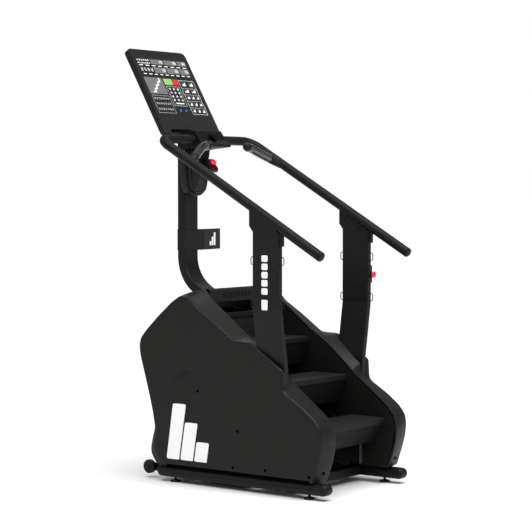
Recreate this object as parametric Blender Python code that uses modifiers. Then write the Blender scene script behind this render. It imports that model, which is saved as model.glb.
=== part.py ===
"""Stair climber: a stepping machine whose stairs turn round between two side shells.

Frame: metres, +Z up. The user steps on from -Y and climbs towards +Y, and +X is on the
user's right. The origin is on the floor under the middle of the machine's overall box.
Lengths along Y below are counted from half way between the levelling feet, MIDDLE_Y
forward of the origin, and the finished pieces are moved there at the end.
"""
import math

import bmesh
import bpy
from mathutils import Matrix, Vector

# Driving dimensions.
GAP = 0.0003            # clearance between pieces that touch
MIDDLE_Y = 0.1502       # middle of the machine, back from half way between the feet
FOOT_X = 0.311          # levelling feet, half spacing across
FOOT_Y = 0.405          # levelling feet, half spacing along
RAIL_LOW = 0.018        # underside of the base rails
RAIL_TOP = 0.076        # top of the base rails
RAIL_INNER = 0.280      # inner side of a base rail
RAIL_OUTER = 0.342      # outer side of a base rail
WELL_HALF = 0.250       # half width of the stair well between the shells
SHELL_CREASE = 0.348    # where a shell's front strip turns into its side
SHELL_SIDE = 0.360      # outer face of a shell
SHELL_WALL = 0.004
STEP_HALF = 0.245       # half width of a step
TREAD_DEPTH = 0.205
TREAD_THICK = 0.030
CHAIN_X = 0.200         # middle of each step chain
CHAIN_R = 0.080         # pitch radius of the chain sprockets
LOWER_SHAFT = (-0.245, 0.165)
UPPER_SHAFT = (0.350, 0.605)
FRAME_INNER = 0.292     # inner face of a side frame plate
FRAME_OUTER = 0.299
POST_FRONT = -0.277     # user's side of the uprights
POST_BACK = -0.124
POST_X = 0.3625         # middle of an upright's upper part
POST_HALF = 0.0155
GRIP_R = 0.023          # handrail tube
GRIP_X = 0.358
GRIP_BAR_Y = 0.468      # cross run of the handrail
GRIP_SLOPE = 0.570
GRIP_HEIGHT = 1.4075    # handrail's centre line above the origin
HORN_R = 0.022          # pulse grips
MAST_HALF = 0.0545
MAST_FRONT = 0.565
MAST_BACK = 0.610
PANEL_HALF = 0.221
PANEL_LOW = (0.542, 1.700)
PANEL_TOP = (0.798, 2.137)
PANEL_THICK = 0.030

SHAFT_R = 0.0125
WHEEL_R = 0.034
FLYWHEEL = (0.360, 0.340)
FLYWHEEL_R = 0.085

# A shell's outline as (Y, Z), clockwise from its front foot: first the edge along the
# stair well, then the crease outside it.
SHELL_OUTLINE = [
    ((-0.462, 0.080), (-0.450, 0.080)), ((-0.496, 0.165), (-0.480, 0.165)),
    ((-0.510, 0.225), (-0.500, 0.235)), ((-0.513, 0.280), (-0.505, 0.290)),
    ((-0.502, 0.332), (-0.498, 0.334)), ((-0.471, 0.375), (-0.462, 0.378)),
    ((-0.420, 0.415), (-0.400, 0.425)), ((-0.310, 0.498), (-0.303, 0.483)),
    ((-0.262, 0.534), (-0.286, 0.500)), ((-0.245, 0.550), (-0.281, 0.592)),
    ((-0.180, 0.607), (-0.240, 0.616)), ((-0.119, 0.658), (-0.110, 0.704)),
    ((-0.090, 0.678), (-0.095, 0.711)), ((0.000, 0.735), (0.003, 0.714)),
    ((0.110, 0.817), (0.138, 0.806)), ((0.210, 0.890), (0.240, 0.868)),
    ((0.245, 0.930), (0.262, 0.893)), ((0.262, 0.945), (0.290, 0.912)),
    ((0.341, 0.932), (0.348, 0.912)), ((0.398, 0.893), (0.398, 0.880)),
    ((0.480, 0.822), (0.478, 0.814)), ((0.555, 0.755), (0.550, 0.748)),
    ((0.598, 0.708), (0.592, 0.704)), ((0.611, 0.672), (0.604, 0.670)),
    ((0.606, 0.620), (0.599, 0.620)), ((0.581, 0.540), (0.575, 0.540)),
    ((0.548, 0.430), (0.542, 0.430)), ((0.523, 0.340), (0.518, 0.340)),
    ((0.508, 0.262), (0.503, 0.262)), ((0.524, 0.212), (0.518, 0.212)),
    ((0.536, 0.165), (0.529, 0.165)), ((0.534, 0.135), (0.528, 0.137)),
    ((0.518, 0.108), (0.512, 0.110)), ((0.490, 0.080), (0.488, 0.080)),
]

# Each visible step's nosing as (Y, Z), from the lowest to the highest.
NOSINGS = [(-0.447, 0.325), (-0.220, 0.522), (0.013, 0.697), (0.250, 0.822)]
INCLINE = math.atan2(UPPER_SHAFT[1] - LOWER_SHAFT[1], UPPER_SHAFT[0] - LOWER_SHAFT[0])


def clear_scene():
    for item in list(bpy.data.objects):
        bpy.data.objects.remove(item, do_unlink=True)


def collection(name):
    made = bpy.data.collections.new(name)
    bpy.context.scene.collection.children.link(made)
    return made


clear_scene()
PARTS = collection("stair_climber")
CUTTERS = collection("cutters")
MATERIALS = {}

# Finish: (colour, roughness, metallic).
FINISHES = {
    "black_plastic": ((0.020, 0.020, 0.021), 0.62, 0.0),
    "black_steel": ((0.016, 0.016, 0.017), 0.45, 0.3),
    "tread_plastic": ((0.030, 0.030, 0.031), 0.75, 0.0),
    "grip_rubber": ((0.018, 0.018, 0.018), 0.85, 0.0),
    "bright_steel": ((0.55, 0.55, 0.56), 0.25, 1.0),
    "red_plastic": ((0.75, 0.010, 0.030), 0.35, 0.0),
    "screen_glass": ((0.010, 0.010, 0.012), 0.15, 0.0),
    "belt_rubber": ((0.025, 0.025, 0.025), 0.80, 0.0),
    "wheel_plastic": ((0.040, 0.040, 0.042), 0.55, 0.0),
}


def finish(name):
    if name not in MATERIALS:
        colour, roughness, metallic = FINISHES[name]
        material = bpy.data.materials.new(name)
        material.use_nodes = True
        shader = material.node_tree.nodes["Principled BSDF"]
        shader.inputs["Base Color"].default_value = (*colour, 1.0)
        shader.inputs["Roughness"].default_value = roughness
        shader.inputs["Metallic"].default_value = metallic
        MATERIALS[name] = material
    return MATERIALS[name]


def publish(name, bm, material, smooth=True):
    """Close the bmesh as an object of the assembly, its faces pointing out."""
    bmesh.ops.recalc_face_normals(bm, faces=bm.faces)
    mesh = bpy.data.meshes.new(name)
    bm.to_mesh(mesh)
    bm.free()
    return publish_mesh(name, mesh, material, smooth)


def publish_mesh(name, mesh, material, smooth=True):
    mesh.materials.clear()
    mesh.materials.append(finish(material))
    if smooth:
        mesh.shade_smooth()
        mesh.set_sharp_from_angle(angle=math.radians(35))
    made = bpy.data.objects.new(name, mesh)
    PARTS.objects.link(made)
    return made


def add_box(bm, low, high):
    low, high = Vector(low), Vector(high)
    size = high - low
    matrix = Matrix.Translation((low + high) / 2) @ Matrix.Diagonal((*size, 1.0))
    return bmesh.ops.create_cube(bm, size=1.0, matrix=matrix)["verts"]


def add_rod(bm, start, end, radius, sides=20, end_radius=None):
    """A round bar, or a cone where end_radius is given, between two points."""
    start, end = Vector(start), Vector(end)
    along = end - start
    turn = along.to_track_quat("Z", "Y").to_matrix().to_4x4()
    matrix = Matrix.Translation((start + end) / 2) @ turn
    wide = radius if end_radius is None else end_radius
    bmesh.ops.create_cone(bm, cap_ends=True, segments=sides, radius1=radius, radius2=wide,
                          depth=along.length, matrix=matrix)


def block(name, low, high, material, bevel=0.0, segments=2):
    bm = bmesh.new()
    add_box(bm, low, high)
    made = publish(name, bm, material)
    if bevel:
        soften(made, bevel, segments)
    return made


def rod(name, start, end, radius, material, sides=24, bevel=0.0):
    bm = bmesh.new()
    add_rod(bm, start, end, radius, sides)
    made = publish(name, bm, material)
    if bevel:
        soften(made, bevel, 2)
    return made


def soften(item, width, segments=2):
    bevel = item.modifiers.new("edges", "BEVEL")
    bevel.width = width
    bevel.segments = segments
    bevel.limit_method = "ANGLE"
    bevel.angle_limit = math.radians(40)


def as_cutter(item):
    """Take an object out of the assembly and keep it as a tool only."""
    PARTS.objects.unlink(item)
    CUTTERS.objects.link(item)
    item.hide_render = True
    item.display_type = "WIRE"
    return item


def combine(item, tool, operation):
    boolean = item.modifiers.new(tool.name, "BOOLEAN")
    boolean.operation = operation
    boolean.solver = "EXACT"
    boolean.object = tool if tool.name in CUTTERS.objects else as_cutter(tool)


def cut(item, *tools):
    for tool in tools:
        combine(item, tool, "DIFFERENCE")


def join(item, *tools):
    for tool in tools:
        combine(item, tool, "UNION")


# The turn that lays a flat outline's own X and Y along two row axes, its thickness along
# the third.
FLAT = {
    "YZ": Matrix(((0, 0, 1, 0), (1, 0, 0, 0), (0, 1, 0, 0), (0, 0, 0, 1))),
    "XZ": Matrix(((1, 0, 0, 0), (0, 0, -1, 0), (0, 1, 0, 0), (0, 0, 0, 1))),
    "XY": Matrix.Identity(4),
}


def plate(name, plane, outlines, low, high, material, bevel=0.0):
    """Flat outlines, the first outside and the rest holes, made thick between low and high."""
    curve = bpy.data.curves.new(name, "CURVE")
    curve.dimensions = "2D"
    curve.fill_mode = "BOTH"
    curve.extrude = (high - low) / 2
    for outline in outlines:
        spline = curve.splines.new("POLY")
        spline.points.add(len(outline) - 1)
        spline.use_cyclic_u = True
        for point, (across, up) in zip(spline.points, outline):
            point.co = (across, up, 0.0, 1.0)
    offset = {"YZ": ((low + high) / 2, 0, 0), "XZ": (0, (low + high) / 2, 0),
              "XY": (0, 0, (low + high) / 2)}[plane]
    return solid_curve(name, curve, Matrix.Translation(offset) @ FLAT[plane], material, bevel)


def tube(name, points, radius, material, sides=3):
    """A round tube along points, its ends capped."""
    curve = bpy.data.curves.new(name, "CURVE")
    curve.dimensions = "3D"
    curve.bevel_depth = radius
    curve.bevel_resolution = sides
    curve.use_fill_caps = True
    spline = curve.splines.new("POLY")
    spline.points.add(len(points) - 1)
    for point, place in zip(spline.points, points):
        point.co = (*place, 1.0)
    return solid_curve(name, curve, Matrix.Identity(4), material)


def solid_curve(name, curve, matrix, material, bevel=0.0):
    """Turn a curve into a welded, closed mesh object."""
    drawn = bpy.data.objects.new(name + "_curve", curve)
    PARTS.objects.link(drawn)
    drawn.matrix_world = matrix
    bpy.context.view_layer.update()
    evaluated = drawn.evaluated_get(bpy.context.evaluated_depsgraph_get())
    mesh = bpy.data.meshes.new_from_object(evaluated)
    bm = bmesh.new()
    bm.from_mesh(mesh)
    bmesh.ops.remove_doubles(bm, verts=bm.verts, dist=0.00005)
    bmesh.ops.transform(bm, matrix=drawn.matrix_world, verts=bm.verts)
    bpy.data.objects.remove(drawn)
    made = publish(name, bm, material)
    if bevel:
        soften(made, bevel)
    return made


def turned(name, profile, place, axis, material, steps=28):
    """Spin a profile of (radius, height) about an axis through place. Height runs along axis."""
    mesh = bpy.data.meshes.new(name)
    points = [(radius, 0.0, height) for radius, height in profile]
    edges = [(index, index + 1) for index in range(len(points) - 1)]
    if profile[0][0] > 0 and profile[-1][0] > 0:
        edges.append((len(points) - 1, 0))
    mesh.from_pydata(points, edges, [])
    made = publish_mesh(name, mesh, material, smooth=False)
    screw = made.modifiers.new("turn", "SCREW")
    screw.steps = steps
    screw.render_steps = steps
    screw.use_merge_vertices = True
    screw.merge_threshold = 0.00005
    turn = Vector(axis).to_track_quat("Z", "Y").to_matrix().to_4x4()
    made.matrix_world = Matrix.Translation(place) @ turn
    return made


def mirrored(item, name):
    """The same piece on the other side of the machine."""
    bpy.context.view_layer.update()
    evaluated = item.evaluated_get(bpy.context.evaluated_depsgraph_get())
    mesh = bpy.data.meshes.new_from_object(evaluated)
    bm = bmesh.new()
    bm.from_mesh(mesh)
    bmesh.ops.transform(bm, matrix=Matrix.Scale(-1, 4, (1, 0, 0)) @ item.matrix_world,
                        verts=bm.verts)
    bmesh.ops.reverse_faces(bm, faces=bm.faces)
    mesh = bpy.data.meshes.new(name)
    bm.to_mesh(mesh)
    bm.free()
    made = bpy.data.objects.new(name, mesh)
    PARTS.objects.link(made)
    return made


def arc(centre, radius, start, end, steps):
    """Points on an arc about centre, angles in degrees, both ends included."""
    span = [math.radians(start + (end - start) * step / steps) for step in range(steps + 1)]
    return [(centre[0] + radius * math.cos(angle), centre[1] + radius * math.sin(angle))
            for angle in span]


def rounded_rectangle(left, low, right, high, radius, steps=5):
    corners = [(right - radius, high - radius, 0), (left + radius, high - radius, 90),
               (left + radius, low + radius, 180), (right - radius, low + radius, 270)]
    points = []
    for across, up, start in corners:
        points += arc((across, up), radius, start, start + 90, steps)
    return points


def filleted(points, radius, steps=6):
    """A path through points with each inner corner turned on an arc of the given radius."""
    places = [Vector(point) for point in points]
    path = [places[0]]
    for before, corner, after in zip(places, places[1:], places[2:]):
        back, ahead = (before - corner).normalized(), (after - corner).normalized()
        half = back.angle(ahead) / 2
        reach = radius / math.tan(half)
        middle = corner + (back + ahead).normalized() * radius / math.sin(half)
        first, last = corner + back * reach - middle, corner + ahead * reach - middle
        turn = first.angle(last)
        for step in range(steps + 1):
            share = step / steps
            blend = (math.sin((1 - share) * turn) * first + math.sin(share * turn) * last)
            path.append(middle + blend / math.sin(turn))
    return path + [places[-1]]


def along(place, angle, forward, out=0.0):
    """A (Y, Z) point: forward along a line at angle, and out to its left."""
    return (place[0] + forward * math.cos(angle) - out * math.sin(angle),
            place[1] + forward * math.sin(angle) + out * math.cos(angle))


# ---- Base -------------------------------------------------------------------------------

def base_rails():
    """Two flat oval tubes with closed ends, bored for the feet."""
    radius = (RAIL_TOP - RAIL_LOW) / 2
    middle = (RAIL_TOP + RAIL_LOW) / 2
    outline = arc((0.476, middle), radius, -90, 90, 8) + arc((-0.494, middle), radius, 90, 270, 8)
    left = plate("base_rail_left", "YZ", [outline], -RAIL_OUTER, -RAIL_INNER, "black_steel")
    for place in (-FOOT_Y, FOOT_Y):
        hole = rod("foot_bore", (-FOOT_X, place, 0.0), (-FOOT_X, place, 0.066), 0.0066,
                   "black_steel", sides=16)
        cut(left, hole)
    mirrored(left, "base_rail_right")


def base_crosses():
    """Two box tubes between the rails."""
    reach = RAIL_INNER - GAP
    spans = (("base_cross_front", -0.290, -0.235), ("base_cross_rear", 0.395, 0.450))
    for name, start, end in spans:
        block(name, (-reach, start, 0.028), (reach, end, 0.074), "black_steel", 0.004)


def levelling_feet():
    profile = [(0.0, 0.052), (0.0060, 0.052), (0.0060, 0.013), (0.0105, 0.013), (0.0105, 0.009),
               (0.0240, 0.009), (0.0262, 0.006), (0.0262, 0.0), (0.0, 0.0)]
    for side, across in (("left", -FOOT_X), ("right", FOOT_X)):
        for end, place in (("front", -FOOT_Y), ("rear", FOOT_Y)):
            turned(f"foot_{end}_{side}", profile, (across, place, 0.0), (0, 0, 1),
                   "black_steel", 20)


def transport_wheels():
    """A wheel behind each rail, turning on a stub on an ear that is welded to the rail's end."""
    middle = (0.587, 0.056)
    profile = [(0.0078, 0.012), (0.0150, 0.012), (0.0165, 0.009), (0.0265, 0.009),
               (0.0280, 0.0115), (0.0320, 0.0115), (WHEEL_R, 0.009), (WHEEL_R, -0.009),
               (0.0320, -0.0115), (0.0280, -0.0115), (0.0265, -0.009), (0.0165, -0.009),
               (0.0150, -0.012), (0.0078, -0.012)]
    for side, sign in (("left", -1), ("right", 1)):
        turned(f"transport_wheel_{side}", profile, (sign * 0.2960, *middle), (1, 0, 0),
               "wheel_plastic", 20)
    ear = plate("wheel_bracket_left", "YZ", [
        [(0.452, 0.030), (0.590, 0.036)] + arc(middle, 0.020, -60, 90, 6) + [(0.452, 0.072)]],
        -RAIL_INNER + GAP, -RAIL_INNER + 0.0045, "black_steel")
    pin = turned("wheel_stub", [
        (0.0, 0.3140), (0.0120, 0.3140), (0.0120, 0.3092), (0.0075, 0.3092), (0.0075, 0.2780),
        (0.0, 0.2780)], (0.0, *middle), (-1, 0, 0), "black_steel", 16)
    join(ear, pin)
    mirrored(ear, "wheel_bracket_right")


# ---- Frame ------------------------------------------------------------------------------

def side_frames():
    """A lasered plate inside each shell, with three windows and bores for the shafts."""
    outline = [(-0.420, 0.0765), (-0.465, 0.240), (-0.440, 0.350), (-0.300, 0.440),
               (-0.255, 0.520), (-0.105, 0.655), (0.010, 0.690), (0.245, 0.850),
               (0.290, 0.900), (0.345, 0.900), (0.545, 0.715), (0.560, 0.650), (0.480, 0.350), (0.475, 0.0765)]
    windows = [
        [(-0.150, 0.120), (-0.150, 0.230), (0.020, 0.365), (0.200, 0.365), (0.260, 0.300),
         (0.260, 0.120)],
        [(0.080, 0.440), (0.080, 0.660), (0.240, 0.760), (0.240, 0.600), (0.190, 0.480)],
        [(0.420, 0.720), (0.500, 0.660), (0.440, 0.440), (0.380, 0.500)],
    ]
    bores = [arc(place, SHAFT_R + 0.0005, 0, 345, 23) for place in (LOWER_SHAFT, UPPER_SHAFT)]
    bores.append(arc(FLYWHEEL, 0.0105, 0, 345, 23))
    left = plate("side_frame_left", "YZ", [outline] + windows + bores, -FRAME_OUTER, -FRAME_INNER,
                 "black_steel")
    mirrored(left, "side_frame_right")


def mast_outline():
    """The mast seen from the side: upright, then bent forward to the top of the frame."""
    bend, lean = 0.190, 57.0
    centre_y = (MAST_FRONT + MAST_BACK) / 2
    half = (MAST_BACK - MAST_FRONT) / 2
    centre = (centre_y - bend, 1.090)
    back = arc(centre, bend + half, 0, -lean, 8)
    front = arc(centre, bend - half, -lean, 0, 8)
    run = math.radians(270 - lean)
    length = 0.135
    ends = [along(back[-1], run, length), along(front[0], run, length)]
    return [(MAST_BACK, 1.600)] + back + ends + front + [(MAST_FRONT, 1.600)]


def mast():
    """A box tube bent forward at its foot and welded to a cross tube on the side frames."""
    tall = plate("mast", "YZ", [mast_outline()], -MAST_HALF, MAST_HALF, "black_steel", 0.006)
    cross = block("mast_cross", (-FRAME_INNER + GAP, 0.335, 0.838),
                  (FRAME_INNER - GAP, 0.385, 0.880), "black_steel", 0.004)
    join(tall, cross)


def upright_outline():
    """An upright seen from the front: straight above, leaning in towards its foot."""
    spine = [(POST_X, 1.260), (POST_X, 0.870), (0.3365, 0.710), (0.3180, 0.605), (0.3160, 0.420)]
    right = [(across + POST_HALF, up) for across, up in spine]
    left = [(across - POST_HALF, up) for across, up in reversed(spine)]
    return right + left


def seam_height(place):
    """Height of the sloping seam between an upright and its bracket."""
    return 1.232 + (place - POST_BACK) * 0.470


def uprights():
    """Flat box tubes that carry the handrail, cut to the slope of the bracket above them."""
    right = plate("upright_right", "XZ", [upright_outline()], POST_FRONT, POST_BACK, "black_steel",
                  0.004)
    near, far = POST_FRONT - 0.05, POST_BACK + 0.05
    top = [(near, seam_height(near)), (far, seam_height(far)), (far, 1.400), (near, 1.400)]
    cut(right, plate("upright_top", "YZ", [top], 0.250, 0.450, "black_steel"))
    join(right, *band_hooks())
    mirrored(right, "upright_left")


def band_hooks():
    """Wire loops for stretch bands, welded to both edges of an upright."""
    loops = []
    for base, out in ((POST_FRONT + 0.002, -0.022), (POST_BACK - 0.002, 0.022)):
        for low in (0.878, 1.078):
            high = low + 0.036
            points = filleted([(POST_X, base, low), (POST_X, base + out, low),
                               (POST_X, base + out, high), (POST_X, base, high)], 0.008, 2)
            loops.append(tube("band_hook", points, 0.0022, "black_steel", 1))
    return loops


def upright_brackets():
    """Cast brackets between the uprights and the handrail, saddled round the tube."""
    back = -0.104
    outline = [(back, rail_height(back) - 0.010), (back, 1.258),
               (POST_BACK, seam_height(POST_BACK) + GAP),
               (POST_FRONT, seam_height(POST_FRONT) + GAP), (POST_FRONT, 1.222), (-0.262, 1.240),
               (-0.243, rail_height(-0.243) - 0.012)]
    half = POST_HALF + 0.0005
    right = plate("upright_bracket_right", "YZ", [outline], POST_X - half, POST_X + half,
                  "black_steel", 0.0015)
    lip = block("bracket_lip", (POST_X - 0.012, POST_FRONT - 0.014, 1.164),
                (POST_X + 0.012, POST_FRONT - 0.001, 1.232), "black_steel", 0.002)
    web = block("bracket_web", (POST_X - 0.012, POST_FRONT - 0.004, 1.190),
                (POST_X + 0.012, POST_FRONT + 0.006, 1.220), "black_steel")
    join(lip, web)
    join(right, lip)
    saddle = tube("saddle", [(GRIP_X, place, rail_height(place)) for place in (-0.45, 0.20)],
                  GRIP_R + 0.0005, "black_steel", 4)
    cut(right, saddle)
    mirrored(right, "upright_bracket_left")


def rail_height(place):
    return GRIP_HEIGHT + GRIP_SLOPE * place


def handrail():
    """One bent tube: up the left side, across in front of the mast and down the right side."""
    start = -0.511
    corner = rail_height(GRIP_BAR_Y)
    points = filleted([(-GRIP_X, start, rail_height(start)), (-GRIP_X, GRIP_BAR_Y, corner),
                       (GRIP_X, GRIP_BAR_Y, corner), (GRIP_X, start, rail_height(start))], 0.070, 8)
    rail = tube("handrail", points, GRIP_R, "grip_rubber", 4)
    soften(rail, 0.008, 3)


def grip_pods():
    """Pulse grips: horns that leave the rails inwards and up, each with a sensor sleeve and a cap."""
    points = [(-0.350, 0.2635, 1.5565), (-0.300, 0.291, 1.5805), (-0.235, 0.3195, 1.6125),
              (-0.213, 0.3285, 1.6235)]
    rail = [(-GRIP_X, place, rail_height(place)) for place in (0.10, 0.42)]
    left = tube("grip_pod_left", points, HORN_R, "black_plastic", 3)
    cut(left, tube("pod_saddle", rail, GRIP_R + 0.0005, "black_plastic", 4))
    mirrored(left, "grip_pod_right")
    reach = (Vector(points[3]) - Vector(points[2])).normalized()
    end = Vector(points[3])
    sleeve = [end + reach * GAP, end + reach * 0.020, Vector((-0.176, 0.3320, 1.6360)),
              Vector((-0.158, 0.3280, 1.6395))]
    sensor = tube("grip_sensor_left", [tuple(point) for point in sleeve], HORN_R, "bright_steel", 3)
    mirrored(sensor, "grip_sensor_right")
    turn = (sleeve[3] - sleeve[2]).normalized()
    cap = turned("grip_cap_left", [(0.0, 0.026), (0.010, 0.0245), (0.017, 0.020), (HORN_R - 0.001, 0.010),
                                   (HORN_R, 0.0), (0.0, 0.0)], sleeve[3] + turn * GAP, turn,
                 "black_plastic", 20)
    mirrored(cap, "grip_cap_right")


# ---- Casings ----------------------------------------------------------------------------

def shells():
    """Moulded side shells: a sloping front strip lofted out to a crease and a flat side."""
    def ring(bm, across, pick):
        return [bm.verts.new((across, *pick(inner, crease))) for inner, crease in SHELL_OUTLINE]

    def between(share):
        return lambda inner, crease: (inner[0] + (crease[0] - inner[0]) * share,
                                      inner[1] + (crease[1] - inner[1]) * share)

    centre = (0.060, 0.430)

    def drawn_in(inner, crease):
        return (crease[0] + (centre[0] - crease[0]) * 0.030,
                max(0.080, crease[1] + (centre[1] - crease[1]) * 0.030))

    bm = bmesh.new()
    rings = [ring(bm, WELL_HALF, between(0.0)), ring(bm, SHELL_CREASE, between(1.0)),
             ring(bm, SHELL_SIDE, drawn_in)]
    for near, far in zip(rings, rings[1:]):
        for index in range(len(near)):
            following = (index + 1) % len(near)
            bm.faces.new((near[index], near[following], far[following], far[index]))
    bm.faces.new(rings[-1])
    bmesh.ops.recalc_face_normals(bm, faces=bm.faces)
    mesh = bpy.data.meshes.new("shell_right")
    bm.to_mesh(mesh)
    bm.free()
    right = publish_mesh("shell_right", mesh, "black_plastic")
    wall = right.modifiers.new("wall", "SOLIDIFY")
    wall.thickness = SHELL_WALL
    wall.offset = facing(mesh)
    slot = plate("upright_slot", "XZ", [upright_slot_outline()], POST_FRONT - 0.0006,
                 POST_BACK + 0.0006, "black_plastic")
    frame_slot = block("frame_slot", (FRAME_INNER - 0.0008, -0.435, 0.070),
                       (FRAME_OUTER + 0.0008, 0.485, 0.090), "black_plastic")
    cut(right, slot, frame_slot)
    mirrored(right, "shell_left")


def facing(mesh):
    """Solidify's offset that keeps a side shell's wall inside its skin."""
    side = max(mesh.polygons, key=lambda face: face.area)
    return -1.0 if side.normal.x > 0 else 1.0


def upright_slot_outline():
    grow = 0.0006
    spine = [(POST_X, 0.900), (POST_X, 0.870), (0.3365, 0.710), (0.3180, 0.605), (0.3160, 0.460)]
    right = [(across + POST_HALF + grow, up) for across, up in spine]
    left = [(across - POST_HALF - grow, up) for across, up in reversed(spine)]
    return right + left


def well_panels():
    """Inner walls of the stair well, hung inside the shells' edges."""
    outline = [(-0.452, 0.0845), (-0.486, 0.166), (-0.503, 0.280), (-0.492, 0.326), (-0.465, 0.367),
               (-0.310, 0.490), (-0.242, 0.542), (-0.110, 0.654), (0.000, 0.726), (0.206, 0.874),
               (0.254, 0.922), (0.268, 0.934), (0.335, 0.922), (0.400, 0.880), (0.400, 0.640),
               (0.470, 0.560), (0.470, 0.0845)]
    bores = [arc(place, SHAFT_R + 0.0035, 0, 345, 23)
             for place in (LOWER_SHAFT, UPPER_SHAFT, FLYWHEEL)]
    beam_hole = [(0.331, 0.834), (0.389, 0.834), (0.389, 0.884), (0.331, 0.884)]
    left = plate("well_panel_left", "YZ", [outline, beam_hole] + bores, -WELL_HALF - 0.0032,
                 -WELL_HALF - 0.0002, "black_plastic")
    mirrored(left, "well_panel_right")


def strip_between(name, line, thickness, reach, material):
    """A bent sheet that spans the stair well: line is its outer side as (Y, Z)."""
    outer = [Vector(point) for point in line]
    inner = []
    for index, point in enumerate(outer):
        before = outer[max(index - 1, 0)]
        after = outer[min(index + 1, len(outer) - 1)]
        heading = (after - before).normalized()
        inner.append(point + Vector((heading.y, -heading.x)) * thickness)
    return plate(name, "YZ", [[tuple(p) for p in outer] + [tuple(p) for p in reversed(inner)]],
                 -reach, reach, material)


def top_cover():
    """The hood over the top of the stair well, with a slot for the mast."""
    line = [(0.236, 0.880), (0.236, 0.938), (0.246, 0.946), (0.340, 0.936), (0.390, 0.900),
            (0.474, 0.829), (0.500, 0.806)]
    hood = strip_between("top_cover", line, 0.004, WELL_HALF - 0.0020, "black_plastic")
    slot = block("mast_slot", (-MAST_HALF - 0.001, 0.330, 0.780), (MAST_HALF + 0.001, 0.480, 1.000),
                 "black_plastic")
    cut(hood, slot)


def rear_cover():
    """The back of the casing between the shells, down to the base."""
    line = [(0.5035, 0.8020), (0.548, 0.752), (0.588, 0.704), (0.600, 0.672), (0.595, 0.620),
            (0.570, 0.540), (0.537, 0.430), (0.512, 0.340), (0.497, 0.262), (0.497, 0.090)]
    back = strip_between("rear_cover", line, 0.004, WELL_HALF - 0.0020, "black_plastic")
    cut(back, block("controller_notch", (-0.1410, 0.480, 0.080), (0.0810, 0.510, 0.1710),
                    "black_plastic"))


def cable_wing():
    """A folded plate that clips round the mast and stands out to the right of it."""
    low, high, sheet = 1.120, 1.226, 0.004
    front = MAST_FRONT - GAP
    outline = [
        (-MAST_HALF - GAP, MAST_BACK - 0.003), (-MAST_HALF - GAP, front), (0.098, front), (0.268, 0.600),
        (0.270, 0.596), (0.099, front - sheet), (-MAST_HALF - GAP - sheet, front - sheet),
        (-MAST_HALF - GAP - sheet, MAST_BACK - 0.003)]
    plate("mast_wing", "XY", [outline], low, high, "black_steel", 0.0012)


def pod_housing():
    """A tongue of a cover that carries the console on the mast's front, narrowing downwards."""
    half = [(0.000, 1.392), (0.030, 1.396), (0.050, 1.410), (0.063, 1.436), (0.075, 1.480),
            (0.090, 1.560), (0.095, 1.618)]
    outline = half + [(-across, up) for across, up in reversed(half[1:])]
    plate("console_pod", "XZ", [outline], 0.512, MAST_FRONT - GAP, "black_plastic", 0.010)


# ---- Console ----------------------------------------------------------------------------

def panel_point(up, out):
    """(Y, Z) at a share of the panel's height, out from its face towards the user."""
    run = Vector(PANEL_TOP) - Vector(PANEL_LOW)
    normal = Vector((-run.y, run.x)).normalized()
    place = Vector(PANEL_LOW) + run * up + normal * out
    return tuple(place)


def console():
    """The console's back housing, with the glass fascia in front of it."""
    height = (Vector(PANEL_TOP) - Vector(PANEL_LOW)).length
    lean = math.atan2(PANEL_TOP[0] - PANEL_LOW[0], PANEL_TOP[1] - PANEL_LOW[1])
    turn = Matrix.Translation((0, *PANEL_LOW)) @ Matrix.Rotation(-lean, 4, "X")

    def slab(name, half, low, high, front, back, radius, material, bevel):
        item = plate(name, "XZ", [rounded_rectangle(-half, low, half, high, radius)], front, back,
                     material, bevel)
        item.data.transform(turn)
        return item

    housing = slab("console_housing", PANEL_HALF, 0.0, height, 0.0035, PANEL_THICK, 0.028,
                   "black_plastic", 0.005)
    stalk = plate("console_stalk", "YZ", [[
        (MAST_FRONT + 0.004, 1.6005), (MAST_FRONT + 0.004, 1.690), panel_point(0.10, -0.020),
        panel_point(0.42, -0.020), (MAST_BACK + 0.055, 1.760), (MAST_BACK + 0.006, 1.690),
        (MAST_BACK + 0.006, 1.6005)]], -0.033, 0.033, "black_plastic")
    join(housing, stalk)
    slab("console_fascia", PANEL_HALF - 0.004, 0.004, height - 0.004, 0.0, 0.0032, 0.025,
         "screen_glass", 0.001)


def console_nose():
    """The block under the panel that clamps the handrail's cross run, with an air outlet in front."""
    outline = [(0.4560, 1.7210), (0.4220, 1.6740), (0.3900, 1.6510), (0.3880, 1.6450), (0.3960, 1.6385),
               (0.5000, 1.6300), (0.5560, 1.6190), (0.5660, 1.6400), (0.5660, 1.6825),
               (0.5420, 1.6965), (0.5405, 1.6990), (0.5460, 1.7100), (0.5200, 1.7160)]
    nose = plate("console_nose", "YZ", [outline], -0.105, 0.105, "black_plastic", 0.004)
    cut(nose, rod("rail_clamp", (-0.150, GRIP_BAR_Y, rail_height(GRIP_BAR_Y)),
                  (0.150, GRIP_BAR_Y, rail_height(GRIP_BAR_Y)), GRIP_R + 0.0008, "black_plastic", 24))
    face = Vector((0.0, -0.807, 0.590))
    middle = Vector((0.0, 0.4240, 1.6770))
    cut(nose, rod("outlet", middle - face * 0.010, middle + face * 0.030, 0.0245, "black_plastic", 24))


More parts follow.
